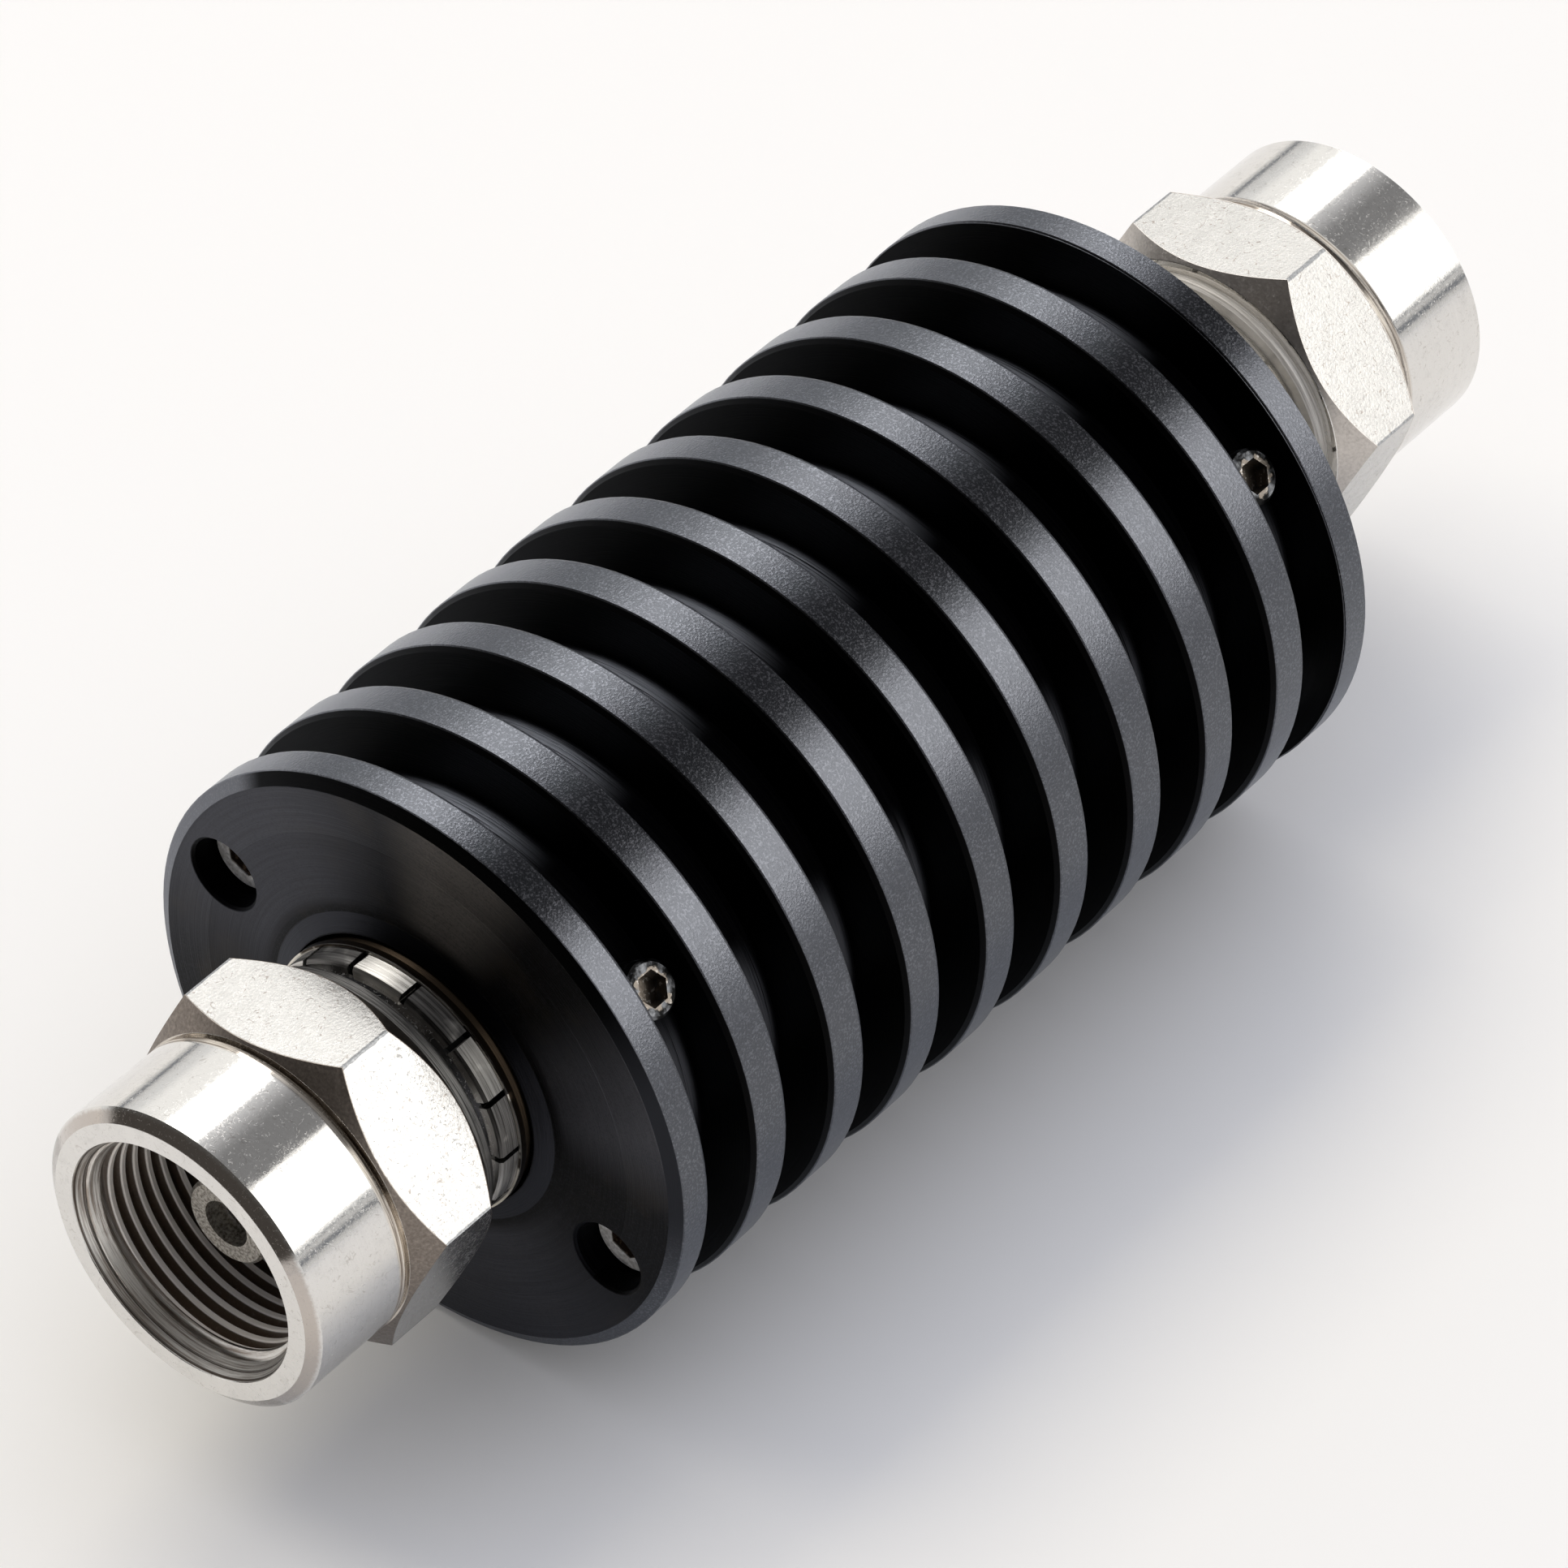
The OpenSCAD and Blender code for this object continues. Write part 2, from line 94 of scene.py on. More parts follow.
class Pen:
    """Adds nodes to one node tree."""

    def __init__(self, tree):
        self.tree = tree

    def feed(self, socket, value):
        """Links another node's socket, or sets a number, a vector or a colour."""
        if isinstance(value, bpy.types.NodeSocket):
            self.tree.links.new(value, socket)
        elif socket.type == "RGBA":
            socket.default_value = (*value, 1.0)
        else:
            socket.default_value = value

    def node(self, kind, settings=None, **sockets):
        """Adds a node. settings are its properties; sockets feed its inputs, by name or i0, i1."""
        made = self.tree.nodes.new(kind)
        for name, value in (settings or {}).items():
            setattr(made, name, value)
        for name, value in sockets.items():
            key = int(name[1:]) if name[1:].isdigit() else name.replace("_", " ")
            self.feed(made.inputs[key], value)
        return made

    def calc(self, operation, a, b=0.0, c=0.0):
        """The result of one Math node."""
        return self.node("ShaderNodeMath", {"operation": operation}, i0=a, i1=b, i2=c).outputs[0]

    def times(self, first, *more):
        for value in more:
            first = self.calc("MULTIPLY", first, value)
        return first

    def plus(self, first, *more):
        for value in more:
            first = self.calc("ADD", first, value)
        return first

    def minus(self, a, b):
        return self.calc("SUBTRACT", a, b)

    def over(self, a, b):
        return self.calc("DIVIDE", a, b)

    def larger(self, a, b):
        return self.calc("MAXIMUM", a, b)

    def above(self, value, limit):
        """1 where the value is above the limit, otherwise 0."""
        return self.calc("GREATER_THAN", value, limit)

    def below(self, value, limit):
        """1 where the value is below the limit, otherwise 0."""
        return self.calc("LESS_THAN", value, limit)

    def apart(self, a, b):
        """The distance between two values."""
        return self.calc("ABSOLUTE", self.minus(a, b))

    def hypotenuse(self, a, b):
        return self.calc("SQRT", self.plus(self.times(a, a), self.times(b, b)))

    def clamp(self, value):
        return self.node("ShaderNodeClamp", Value=value).outputs[0]

    def step(self, value, low, high):
        """0 at low and 1 at high, with a soft step between them. Low may be the larger of the two."""
        return self.node("ShaderNodeMapRange", {"interpolation_type": "SMOOTHSTEP"},
                         Value=value, From_Min=low, From_Max=high).outputs[0]

    def band(self, value, low, high, soft):
        """1 between low and high, 0 outside, with soft ends."""
        return self.times(self.step(value, low - soft, low), self.step(value, high + soft, high))

    def mix(self, share, a, b):
        """Colour a where the share is 0 and colour b where it is 1."""
        return self.node("ShaderNodeMix", {"data_type": "RGBA"}, i0=share, i6=a, i7=b).outputs[2]

    def dot(self, a, b):
        return self.node("ShaderNodeVectorMath", {"operation": "DOT_PRODUCT"}, i0=a, i1=b).outputs["Value"]

    def split(self, vector):
        return self.node("ShaderNodeSeparateXYZ", Vector=vector).outputs

    def noise(self, position, scale, detail, **more):
        made = self.node("ShaderNodeTexNoise", Vector=position, Scale=scale, Detail=detail, **more)
        return made.outputs[0]

    def group(self, tree, **sockets):
        """A node that shows a node group. Returns all its outputs."""
        return self.node("ShaderNodeGroup", {"node_tree": tree}, **sockets).outputs


print("a pen has", len([name for name in vars(Pen) if not name.startswith("_")]), "methods")

# %% [markdown]
# Almost everything on this part is turned on a lathe, so its finishes depend on the distance from the axis,
# the height and the angle. An image wrapped round it would need a map for each piece. Masks worked out from
# the position need none. This node group turns a position into the three values, and every material uses
# it. Positions are Object coordinates, which here are the frame's own metres, so marks stay on the metal as
# it moves.

# %% group that says where a point is
NUMBER, VECTOR = "NodeSocketFloat", "NodeSocketVector"


def new_group(name, inputs, outputs):
    """An empty node group: its pen, the sockets its inputs come from, and the sockets its outputs go to."""
    tree = bpy.data.node_groups.new(name, "ShaderNodeTree")
    for label, kind, value in inputs:
        socket = tree.interface.new_socket(label, in_out="INPUT", socket_type=kind)
        if value is not None:
            socket.default_value = value
    for label, kind in outputs:
        tree.interface.new_socket(label, in_out="OUTPUT", socket_type=kind)
    return Pen(tree), tree.nodes.new("NodeGroupInput").outputs, tree.nodes.new("NodeGroupOutput").inputs


pen, given, result = new_group(
    "round_place", [], [("Radius", NUMBER), ("Height", NUMBER), ("Angle", NUMBER), ("Millimetres", VECTOR)])
place_group = pen.tree
where = pen.node("ShaderNodeTexCoord").outputs["Object"]
in_mm = pen.node("ShaderNodeVectorMath", {"operation": "SCALE"}, Vector=where, Scale=1 / MM).outputs[0]
x, y, z = pen.split(in_mm)
pen.feed(result["Radius"], pen.hypotenuse(x, y))
pen.feed(result["Height"], z)
pen.feed(result["Angle"], pen.calc("ARCTAN2", y, x))
pen.feed(result["Millimetres"], in_mm)
print(place_group.name, "gives", [socket.name for socket in result if socket.name])

# %% [markdown]
# Blasted, cast and worn surfaces have fine grain, and old plating has hair-thin curved lines. Both come
# from noise, because it has no seams and no repeats. Specks are the peaks of the noise: a larger share
# leaves more of them. Hairlines follow the noise's middle level, which is a thin winding curve, and a
# second noise breaks them up.

# %% groups for grain and hairlines
SPECK_CONTRAST = 12.0
# how much finer the noise is that breaks the hairlines up
BREAK_SCALE = 2.3

pen, given, result = new_group(
    "grain", [("Position", VECTOR, None), ("Size", NUMBER, 0.2), ("Share", NUMBER, 0.5)],
    [("Height", NUMBER), ("Specks", NUMBER)])
grain_group = pen.tree
fine = pen.noise(given["Position"], pen.over(1.0, given["Size"]), 3.0, Roughness=0.6)
over_level = pen.minus(fine, pen.minus(1.0, given["Share"]))
pen.feed(result["Height"], fine)
pen.feed(result["Specks"], pen.clamp(pen.times(over_level, SPECK_CONTRAST)))

pen, given, result = new_group(
    "hairlines", [("Position", VECTOR, None), ("Size", NUMBER, 1.0), ("Width", NUMBER, 0.02)],
    [("Mask", NUMBER)])
hair_group = pen.tree
per_size = pen.over(1.0, given["Size"])
winding = pen.noise(given["Position"], per_size, 1.0, Distortion=1.2)
on_line = pen.clamp(pen.minus(1.0, pen.over(pen.apart(winding, 0.5), given["Width"])))
unbroken = pen.step(pen.noise(given["Position"], pen.times(per_size, BREAK_SCALE), 2.0), 0.50, 0.58)
pen.feed(result["Mask"], pen.times(on_line, unbroken))
print("made", grain_group.name, "and", hair_group.name)

# %% [markdown]
# A lathe leaves rows of fine marks that run round the axis. Plain stripes would look printed, so noise is
# read at the row and at a point on a circle. The marks then change slowly with the angle and close on
# themselves without a seam.

# %% group for lathe marks
# radius of the circle in the noise: a larger one changes the marks faster round the axis
ROUND = 1.5

pen, given, result = new_group(
    "lathe_marks", [("Along", NUMBER, 0.0), ("Angle", NUMBER, 0.0), ("Pitch", NUMBER, 0.1)],
    [("Height", NUMBER)])
marks_group = pen.tree
row = pen.over(given["Along"], given["Pitch"])
round_x = pen.times(pen.calc("COSINE", given["Angle"]), ROUND)
round_y = pen.times(pen.calc("SINE", given["Angle"]), ROUND)
read_at = pen.node("ShaderNodeCombineXYZ", X=row, Y=round_x, Z=round_y).outputs[0]
pen.feed(result["Height"], pen.noise(read_at, 1.0, 4.0, Roughness=0.7))
print("node groups:", [g.name for g in bpy.data.node_groups])

# %% [markdown]
# A Look is a pen for one material. It knows where each point lies on the part, and it keeps the colour, the
# roughness and the relief as they build up. So a finish is written as it comes about on the real thing:
# first the metal, then its wear in layers. The Principled shader stays in the material itself.

# %% a look for each material


class Look(Pen):
    """A material that is being drawn."""

    def __init__(self, name, metallic=0.0):
        self.material = bpy.data.materials.new(name)
        self.material.use_nodes = True
        super().__init__(self.material.node_tree)
        self.shader = self.tree.nodes["Principled BSDF"].inputs
        self.shader["Metallic"].default_value = metallic
        self.shader["IOR"].default_value = 1.5
        at = self.group(place_group)
        self.radius, self.height, self.angle, self.mm = (at[i] for i in range(4))
        self.degrees = self.times(self.angle, 180 / math.pi)

    def grain(self, size, share):
        """Fine grain, size in millimetres: its Height and its Specks."""
        return self.group(grain_group, Position=self.mm, Size=size, Share=share)

    def hairs(self, size, width):
        return self.group(hair_group, Position=self.mm, Size=size, Width=width)["Mask"]

    def marks(self, along, pitch):
        """Lathe marks in rows, a pitch in millimetres apart."""
        return self.group(marks_group, Along=along, Angle=self.angle, Pitch=pitch)["Height"]

    def cloud(self, scale, detail, **more):
        return self.noise(self.mm, scale, detail, **more)

    def paint(self, share, colour):
        """Covers the colour so far with another one, where the share is 1."""
        self.colour = self.mix(share, self.colour, colour)

    def roughen(self, share, amount):
        self.rough = self.plus(self.rough, self.times(share, amount))

    def lift(self, height):
        self.relief = self.plus(self.relief, height)

    def finish(self, strength=1.0, depth=1.0):
        """Feeds the shader. The relief times the depth is in millimetres."""
        bump = self.node("ShaderNodeBump", Strength=strength, Distance=depth * MM, Height=self.relief)
        self.feed(self.shader["Base Color"], self.colour)
        self.feed(self.shader["Roughness"], self.rough)
        self.feed(self.shader["Normal"], bump.outputs[0])


print("looks start with", [i.name for i in place_group.interface.items_tree])

# %% [markdown]
# The heat sink is black anodised aluminium. The oxide is a black skin over metal. It could be a black
# plastic-like coat, but the photograph shows broad grey sheens without a white highlight, so the shader is
# a very dark metal whose base colour is how much it mirrors. First come the masks. They are bands of radius
# and height, because the fins repeat at one pitch, and each mask ends a few hundredths beside its edge.

# %% masks of the heat sink
# millimetres, as the CAD source has them; heights run along the axis from the far nut's mouth
FIN_RADIUS = 20.0
CORE_RADIUS = 16.0
RING_INNER = 9.4
FIN_PITCH = 7.1
FIN_THICK = 2.9
FIRST_FIN = 32.2
SINK_MIDDLE = 58.5
SINK_HALF = 33.1
BROKEN_EDGE = 0.20
BROKEN_END = 0.06
CONE_WIDTH = 0.90
CONE_HEIGHT = 0.52

sink = Look("black_anodised", metallic=1.0)
sink.feed(sink.shader["Specular Tint"], (0.90, 0.92, 0.95))
from_middle = sink.apart(sink.height, SINK_MIDDLE)
rim = sink.step(sink.radius, FIN_RADIUS - 0.10, FIN_RADIUS - 0.05)
core = sink.step(sink.radius, CORE_RADIUS + 0.05, CORE_RADIUS + 0.02)
end_face = sink.above(from_middle, SINK_HALF - 0.04)
raised_ring = sink.times(sink.step(from_middle, SINK_HALF + 0.01, SINK_HALF + 0.03),
                         sink.step(sink.radius, RING_INNER + 0.02, RING_INNER + 0.10))
cone = sink.times(sink.above(sink.radius, FIN_RADIUS - CONE_WIDTH),
                  sink.band(from_middle, SINK_HALF - CONE_HEIGHT, SINK_HALF - 0.02, 0.01))
# height above the start of the fin below, and how far a point on a rim runs into its broken edge
above_fin = sink.calc("FLOORED_MODULO", sink.minus(sink.height, FIRST_FIN), FIN_PITCH)
past_edge = sink.minus(sink.apart(above_fin, FIN_THICK / 2), FIN_THICK / 2 - BROKEN_EDGE)
past_end = sink.minus(from_middle, SINK_HALF - BROKEN_END)
fall = sink.larger(sink.larger(past_edge, past_end), 0.0)
print("masks drawn with", len(sink.tree.nodes), "nodes")

# %% [markdown]
# The end faces are turned. They catch light in wedges, because every groove runs round the axis. An
# anisotropic shader could do this, but it needs a tangent on every face, so the wedges are painted where
# the photograph shows them, as painted highlights. The raised ring in the middle is painted a little paler
# as light, and painted darker over the top as shade.

# %% end faces of the heat sink
# radii between which the wedges fade in
WIDE_FACE = (10.7, 12.0)
# the raised ring's painted shade is deepest at minus this angle, and its painted light is back this many
# degrees from it
RING_SHADE_ANGLE = 75.0
RING_SHADE_SPAN = (22.0, 50.0)
FACE_TONES = ((0.0035, 0.0032, 0.0032), (0.0130, 0.0120, 0.0115))
FACE_CLOUD = (0.0180, 0.0150, 0.0115)
FACE_SPECKS = (0.030, 0.031, 0.036)
RING_SHADE_TONES = ((0.004, 0.004, 0.005), (0.036, 0.037, 0.044))
# angle, half width and tone of each painted highlight wedge
HIGHLIGHT_WEDGES = [(-5.0, 55.0, (0.060, 0.061, 0.071)), (-68.0, 20.0, (0.145, 0.132, 0.120)),
          (-124.0, 26.0, (0.084, 0.084, 0.094)), (140.0, 60.0, (0.060, 0.061, 0.071))]

leather = sink.grain(0.15, 0.48)
cloud = sink.cloud(0.30, 4.0)
turning = sink.marks(sink.radius, 0.13)
grooves = sink.marks(sink.height, 0.10)
face_colour = sink.mix(turning, *FACE_TONES)
face_colour = sink.mix(sink.step(cloud, 0.48, 0.70), face_colour, FACE_CLOUD)
wide_face = sink.step(sink.radius, *WIDE_FACE)
for middle, half, tone in HIGHLIGHT_WEDGES:
    aside = sink.calc("ABSOLUTE", sink.calc("WRAP", sink.minus(sink.degrees, middle), 180.0, -180.0))
    wedge = sink.times(sink.step(aside, half, half * 0.2), wide_face)
    wedge = sink.times(wedge, sink.plus(sink.times(turning, 0.8), 0.4))
    face_colour = sink.mix(wedge, face_colour, tone)
face_colour = sink.mix(sink.times(leather["Specks"], 0.35), face_colour, FACE_SPECKS)
# painted shade over the top of the raised ring, and painted light at its sides
from_ring_shade = sink.calc("ABSOLUTE", sink.plus(sink.degrees, RING_SHADE_ANGLE))
ring_shade_colour = sink.mix(sink.step(from_ring_shade, *RING_SHADE_SPAN), *RING_SHADE_TONES)
face_colour = sink.mix(raised_ring, face_colour, ring_shade_colour)
print("end faces have", len(HIGHLIGHT_WEDGES), "wedges")

# %% [markdown]
# The gaps between the fins are painted near black as shade, because little light gets in, and so is the
# core between its bands. Two bands along the axis on the core are painted highlights, where its turned
# skin mirrors the lights, but not close to the fins. Both bands are masks of the angle with soft ends, so
# they fade softly.

# %% gaps and core
# heights above the start of a fin where the painted highlight begins and where it is full
OFF_FIN = (2.95, 3.55)
# first and last degree of a band, and how soft its ends are
LEFT_SHEEN_BAND, RIGHT_SHEEN_BAND = (-56.0, -48.0, 22.0), (-136.0, -128.0, 16.0)
CORE_SHADE_BLACK, GROOVE_BLACK = (0.004, 0.004, 0.005), (0.010, 0.010, 0.012)
LEFT_SHEEN_TONE, RIGHT_SHEEN_TONE = (0.40, 0.42, 0.47), (0.15, 0.155, 0.175)
GAP_SHADE_TONES = ((0.0008, 0.0008, 0.0009), (0.0060, 0.0058, 0.0060))

off_fin = sink.step(above_fin, *OFF_FIN)
# two painted highlight bands on the core, away from the fins
core_colour = sink.mix(sink.times(sink.band(sink.degrees, *LEFT_SHEEN_BAND), off_fin), CORE_SHADE_BLACK, LEFT_SHEEN_TONE)
core_colour = sink.mix(sink.times(sink.band(sink.degrees, *RIGHT_SHEEN_BAND), off_fin), core_colour, RIGHT_SHEEN_TONE)
core_colour = sink.mix(sink.step(grooves, 0.50, 0.34), core_colour, GROOVE_BLACK)
# the fins' flanks are painted near black as shade
gap_shade_colour = sink.mix(turning, *GAP_SHADE_TONES)
gap_shade_colour = sink.mix(core, gap_shade_colour, core_colour)
print("the core is", 2 * CORE_RADIUS, "mm across")

# %% [markdown]
# The rims are blasted to a fine leathery grain and mirror most. Over the top of every rim the colour is
# painted darker as shade, and both flanks are painted a little paler as light. The sharp edges are broken,
# and painted glints stand on them. A plate's outer edge is a narrow cone, painted as light and shade: pale
# on the left, black over the top and dim on the right. Each is a layer over the last.

# %% rims and edge cones
# how far below the rim its edge starts to glint
GLINT_FROM = 0.05
OVER_TOP_SHADE, RIGHT_FLANK_LIGHT, LEFT_FLANK_LIGHT = (-83.0, -77.0, 12.0), (-112.0, -96.0, 12.0), (-22.0, 30.0, 18.0)
RIM_TONES = ((0.091, 0.096, 0.107), (0.152, 0.159, 0.178))
RIM_CLOUD = (0.100, 0.103, 0.115)
TOP_SHADE_TONES = ((0.006, 0.006, 0.007), (0.060, 0.060, 0.066))
FLANK_LIGHT_TONE, GLINT_TONE = (0.225, 0.232, 0.258), (0.34, 0.34, 0.36)
CONE_SHADE_BLACK, CONE_SHADE_DIM = (0.0015, 0.0015, 0.0015), (0.022, 0.023, 0.027)
# degrees where the cone's painted light and shade start to change, and where they have changed
TO_PALE, TO_DIM, TO_BEHIND = (-21.0, -13.0), (-100.0, -125.0), (-145.0, -175.0)

rim_colour = sink.mix(leather["Specks"], *RIM_TONES)
rim_colour = sink.mix(sink.times(sink.step(cloud, 0.40, 0.75), 0.35), rim_colour, RIM_CLOUD)
# painted shade over the top of every rim, and painted light on both flanks
over_top_shade = sink.times(sink.band(sink.degrees, *OVER_TOP_SHADE), 0.75)
rim_colour = sink.mix(over_top_shade, rim_colour, sink.mix(leather["Specks"], *TOP_SHADE_TONES))
flank_light = sink.larger(sink.times(sink.band(sink.degrees, *RIGHT_FLANK_LIGHT), 0.22),
                     sink.times(sink.band(sink.degrees, *LEFT_FLANK_LIGHT), 0.45))
rim_colour = sink.mix(flank_light, rim_colour, FLANK_LIGHT_TONE)
glint = sink.times(sink.above(fall, GLINT_FROM), sink.grain(0.11, 0.38)["Specks"])
rim_colour = sink.mix(glint, rim_colour, GLINT_TONE)

# the edge cone's tone is painted light and shade by the angle
cone_colour = sink.mix(sink.step(sink.degrees, *TO_PALE), CONE_SHADE_BLACK, rim_colour)
cone_colour = sink.mix(sink.step(sink.degrees, *TO_DIM), cone_colour, CONE_SHADE_DIM)
cone_colour = sink.mix(sink.step(sink.degrees, *TO_BEHIND), cone_colour, rim_colour)

# the base colour is the painted near-black shade of the gaps
sink.colour = gap_shade_colour
sink.paint(end_face, face_colour)
sink.paint(cone, cone_colour)
sink.paint(rim, rim_colour)
print("colours drawn with", len(sink.tree.nodes), "nodes")

# %% [markdown]
# The relief is in true millimetres: leather on the rims, rows of turning elsewhere, and the fall of the
# broken edges. It is a bump and not geometry, because a hundredth of a millimetre would take millions of
# faces.

# %% roughness and relief of the heat sink
# millimetres from the lowest to the highest point
LEATHER_DEPTH, TURNING_DEPTH, GROOVE_DEPTH = 0.024, 0.022, 0.030

sink.rough = 0.42
sink.roughen(rim, -0.20)
sink.roughen(cloud, 0.06)
sink.roughen(core, 0.08)
rim_relief = sink.minus(sink.times(leather["Height"], LEATHER_DEPTH), fall)
inner_relief = sink.plus(sink.times(turning, TURNING_DEPTH), sink.times(grooves, core, GROOVE_DEPTH))
sink.relief = sink.plus(sink.times(rim, rim_relief), sink.times(sink.minus(1.0, rim), inner_relief))
sink.finish()
print(sink.material.name, "has", len(sink.tree.nodes), "nodes")

# %% [markdown]
# Nuts, rings and bodies are brass with bright nickel plating: a warm white metal with lathe marks, small
# brown pits, hair-thin lines where the plating has worn, and a haze of scuffs. A smooth mirror would look
# drawn, so the haze makes the plate rougher in places, and one function gives every plated piece the same
# wear.

# %% nickel plate
NICKEL_TONES = ((0.67, 0.655, 0.63), (0.79, 0.775, 0.745))
DULL_NICKEL = (0.56, 0.55, 0.53)
PIT_BROWN = (0.36, 0.32, 0.28)
HAIR_BROWN = (0.30, 0.26, 0.22)
MARK_DEPTH, PIT_DEPTH = 0.0010, 0.0016


def plated(name):
    """Nickel plate with its wear, ready to be painted further or finished."""
    plate = Look(name, metallic=1.0)
    pits = plate.grain(0.20, 0.36)
    mottle = plate.cloud(0.9, 7.0, Roughness=0.72)
    marks = plate.marks(plate.height, 0.07)
    plate.colour = plate.mix(marks, *NICKEL_TONES)
    plate.paint(plate.times(plate.step(mottle, 0.50, 0.68), 0.35), DULL_NICKEL)
    plate.paint(plate.times(pits["Specks"], 0.30), PIT_BROWN)
    plate.paint(plate.times(plate.hairs(1.1, 0.016), 0.40), HAIR_BROWN)
    scuffs = plate.step(plate.grain(0.15, 0.5)["Height"], 0.35, 0.75)
    plate.rough = 0.085
    plate.roughen(plate.times(scuffs, plate.step(mottle, 0.36, 0.66)), 0.16)
    plate.roughen(plate.hairs(0.50, 0.035), 0.26)
    plate.relief = plate.plus(plate.times(marks, MARK_DEPTH), plate.times(pits["Height"], PIT_DEPTH))
    return plate


nickel = plated("nickel_plate")
nickel.finish()
print(nickel.material.name, "has", len(nickel.tree.nodes), "nodes")

# %% [markdown]
# A nut is polished on the barrel and dull on the chamfers of its hexagon. Handling has worn the hexagon's
# corners and the front edge of each flat. Faces could be given materials of their own, but wear doesn't
# stop at a face. Both chamfers are cones, so a flat lies between two heights that change with the radius.
# Heights are measured outward from the middle of the part, so one function serves both nuts.

# %% hexagon of a nut
HEX_LENGTH = 7.2
HEX_CORNER = -78.0
# how far a degree is at the hexagon's corners
MM_PER_DEGREE = 0.21
# radius where the front chamfer's cone starts, and how fast it falls
FRONT_CONE, FRONT_SLOPE = 10.1, 0.74
BARREL_RADIUS = 10.3
WORN_TONES = ((0.10, 0.10, 0.10), (0.40, 0.41, 0.42))
DOT_BROWN, CURL_BROWN, EDGE_BROWN = (0.46, 0.425, 0.39), (0.26, 0.215, 0.18), (0.20, 0.17, 0.14)


def hexagon(nut, out, hex_front, lit_flat_tone, lit_dull_tones):
    """Paints a nut's flats, chamfers and corners. hex_front is the height of the hexagon's mouth side."""
    front = nut.minus(hex_front, nut.times(nut.minus(nut.radius, FRONT_CONE), FRONT_SLOPE))
    rear = nut.plus(hex_front - HEX_LENGTH, nut.minus(nut.radius, BARREL_RADIUS))
    to_front = nut.minus(front, out)
    in_hex = nut.times(nut.above(nut.radius, BARREL_RADIUS + 0.04), nut.below(out, hex_front))
    between = nut.times(nut.step(to_front, 0.03, 0.06), nut.step(nut.minus(out, rear), 0.03, 0.06))
    flat = nut.times(in_hex, between)
    chamfer = nut.minus(in_hex, flat)
    dots = nut.grain(0.20, 0.33)
    # the flat and chamfer tones come per nut and hold painted light and shade
    flat_colour = nut.mix(nut.times(dots["Specks"], 0.5), lit_flat_tone, DOT_BROWN)
    flat_colour = nut.mix(nut.times(nut.hairs(0.9, 0.022), 0.70), flat_colour, CURL_BROWN)
    nut.paint(flat, flat_colour)
    nut.paint(chamfer, nut.mix(dots["Height"], *lit_dull_tones))
    ragged = nut.times(nut.minus(nut.cloud(2.4, 4.0), 0.5), 0.16)
    turned_by = nut.calc("WRAP", nut.minus(nut.degrees, HEX_CORNER), 30.0, -30.0)
    from_corner = nut.calc("ABSOLUTE", nut.times(turned_by, MM_PER_DEGREE))
    corner_line = nut.times(flat, nut.step(nut.plus(from_corner, ragged), 0.17, 0.10))
    nut.paint(corner_line, nut.mix(dots["Height"], *WORN_TONES))
    edge_line = nut.times(flat, nut.step(nut.plus(to_front, ragged), 0.13, 0.05))
    nut.paint(nut.times(edge_line, 0.6), EDGE_BROWN)
    nut.roughen(flat, 0.12)
    nut.roughen(chamfer, 0.22)
    nut.lift(nut.times(in_hex, dots["Height"], 0.006))
    return dots


print("a hexagon's corner stands at", HEX_CORNER, "degrees")

# %% [markdown]
# A small fillet joins the barrel to the hexagon, and polishing has left brown streaks in it. CAD has a
# plain step there, which is right for its size. A bump that rises with the square of the height bends the
# normals as a fillet would.

# %% foot of the barrel
FOOT_HEIGHT = 0.85
FLARE = 0.42
FOOT_TONES = ((0.17, 0.135, 0.105), (0.74, 0.68, 0.60))


def barrel_foot(nut, out, hex_front):
    """Paints and bends the fillet between a nut's barrel and its hexagon."""
    up_foot = nut.larger(nut.minus(hex_front + FOOT_HEIGHT, out), 0.0)
    up_foot = nut.times(up_foot, nut.above(out, hex_front - 0.3))
    foot = nut.times(nut.below(nut.radius, BARREL_RADIUS + 0.03), nut.step(up_foot, 0.05, 0.30))
    nut.paint(foot, nut.mix(nut.step(nut.marks(out, 0.16), 0.34, 0.64), *FOOT_TONES))
    nut.lift(nut.times(nut.times(up_foot, up_foot, FLARE), foot))


print("the fillet is", FOOT_HEIGHT, "mm high")

# %% [markdown]
# The bore has pale crests, brown roots and a turned cone at the mouth. Part of the light in the thread is
# matt, or its flanks would only mirror the dark beside them. The mouth's outer edge is rounder than its
# plain chamfer, so a bump leans its normals outward, and it is a little tarnished.

# %% bore and mouth of a nut
# a name that ends in OUT is a height outward from the middle, where that zone ends or begins
BORE_RADIUS, MOUTH_OUT = 8.24, 55.95
THREAD_OUT, CREST_OUT = 53.9, 54.0
EDGE_OUT, EDGE_RADIUS = 55.4, 9.51
# radii where a crest ends and where a root begins
CREST_MASK, ROOT_MASK = (7.50, 7.45), (7.45, 7.53)
BORE_TONES = ((0.34, 0.29, 0.25), (0.84, 0.82, 0.78))
CREST_PALE, RING_BROWN, ROOT_BROWN = (1.0, 0.95, 0.88), (0.075, 0.055, 0.042), (0.085, 0.058, 0.038)
TARNISH = (0.46, 0.405, 0.36)
EDGE_LEAN = 0.45


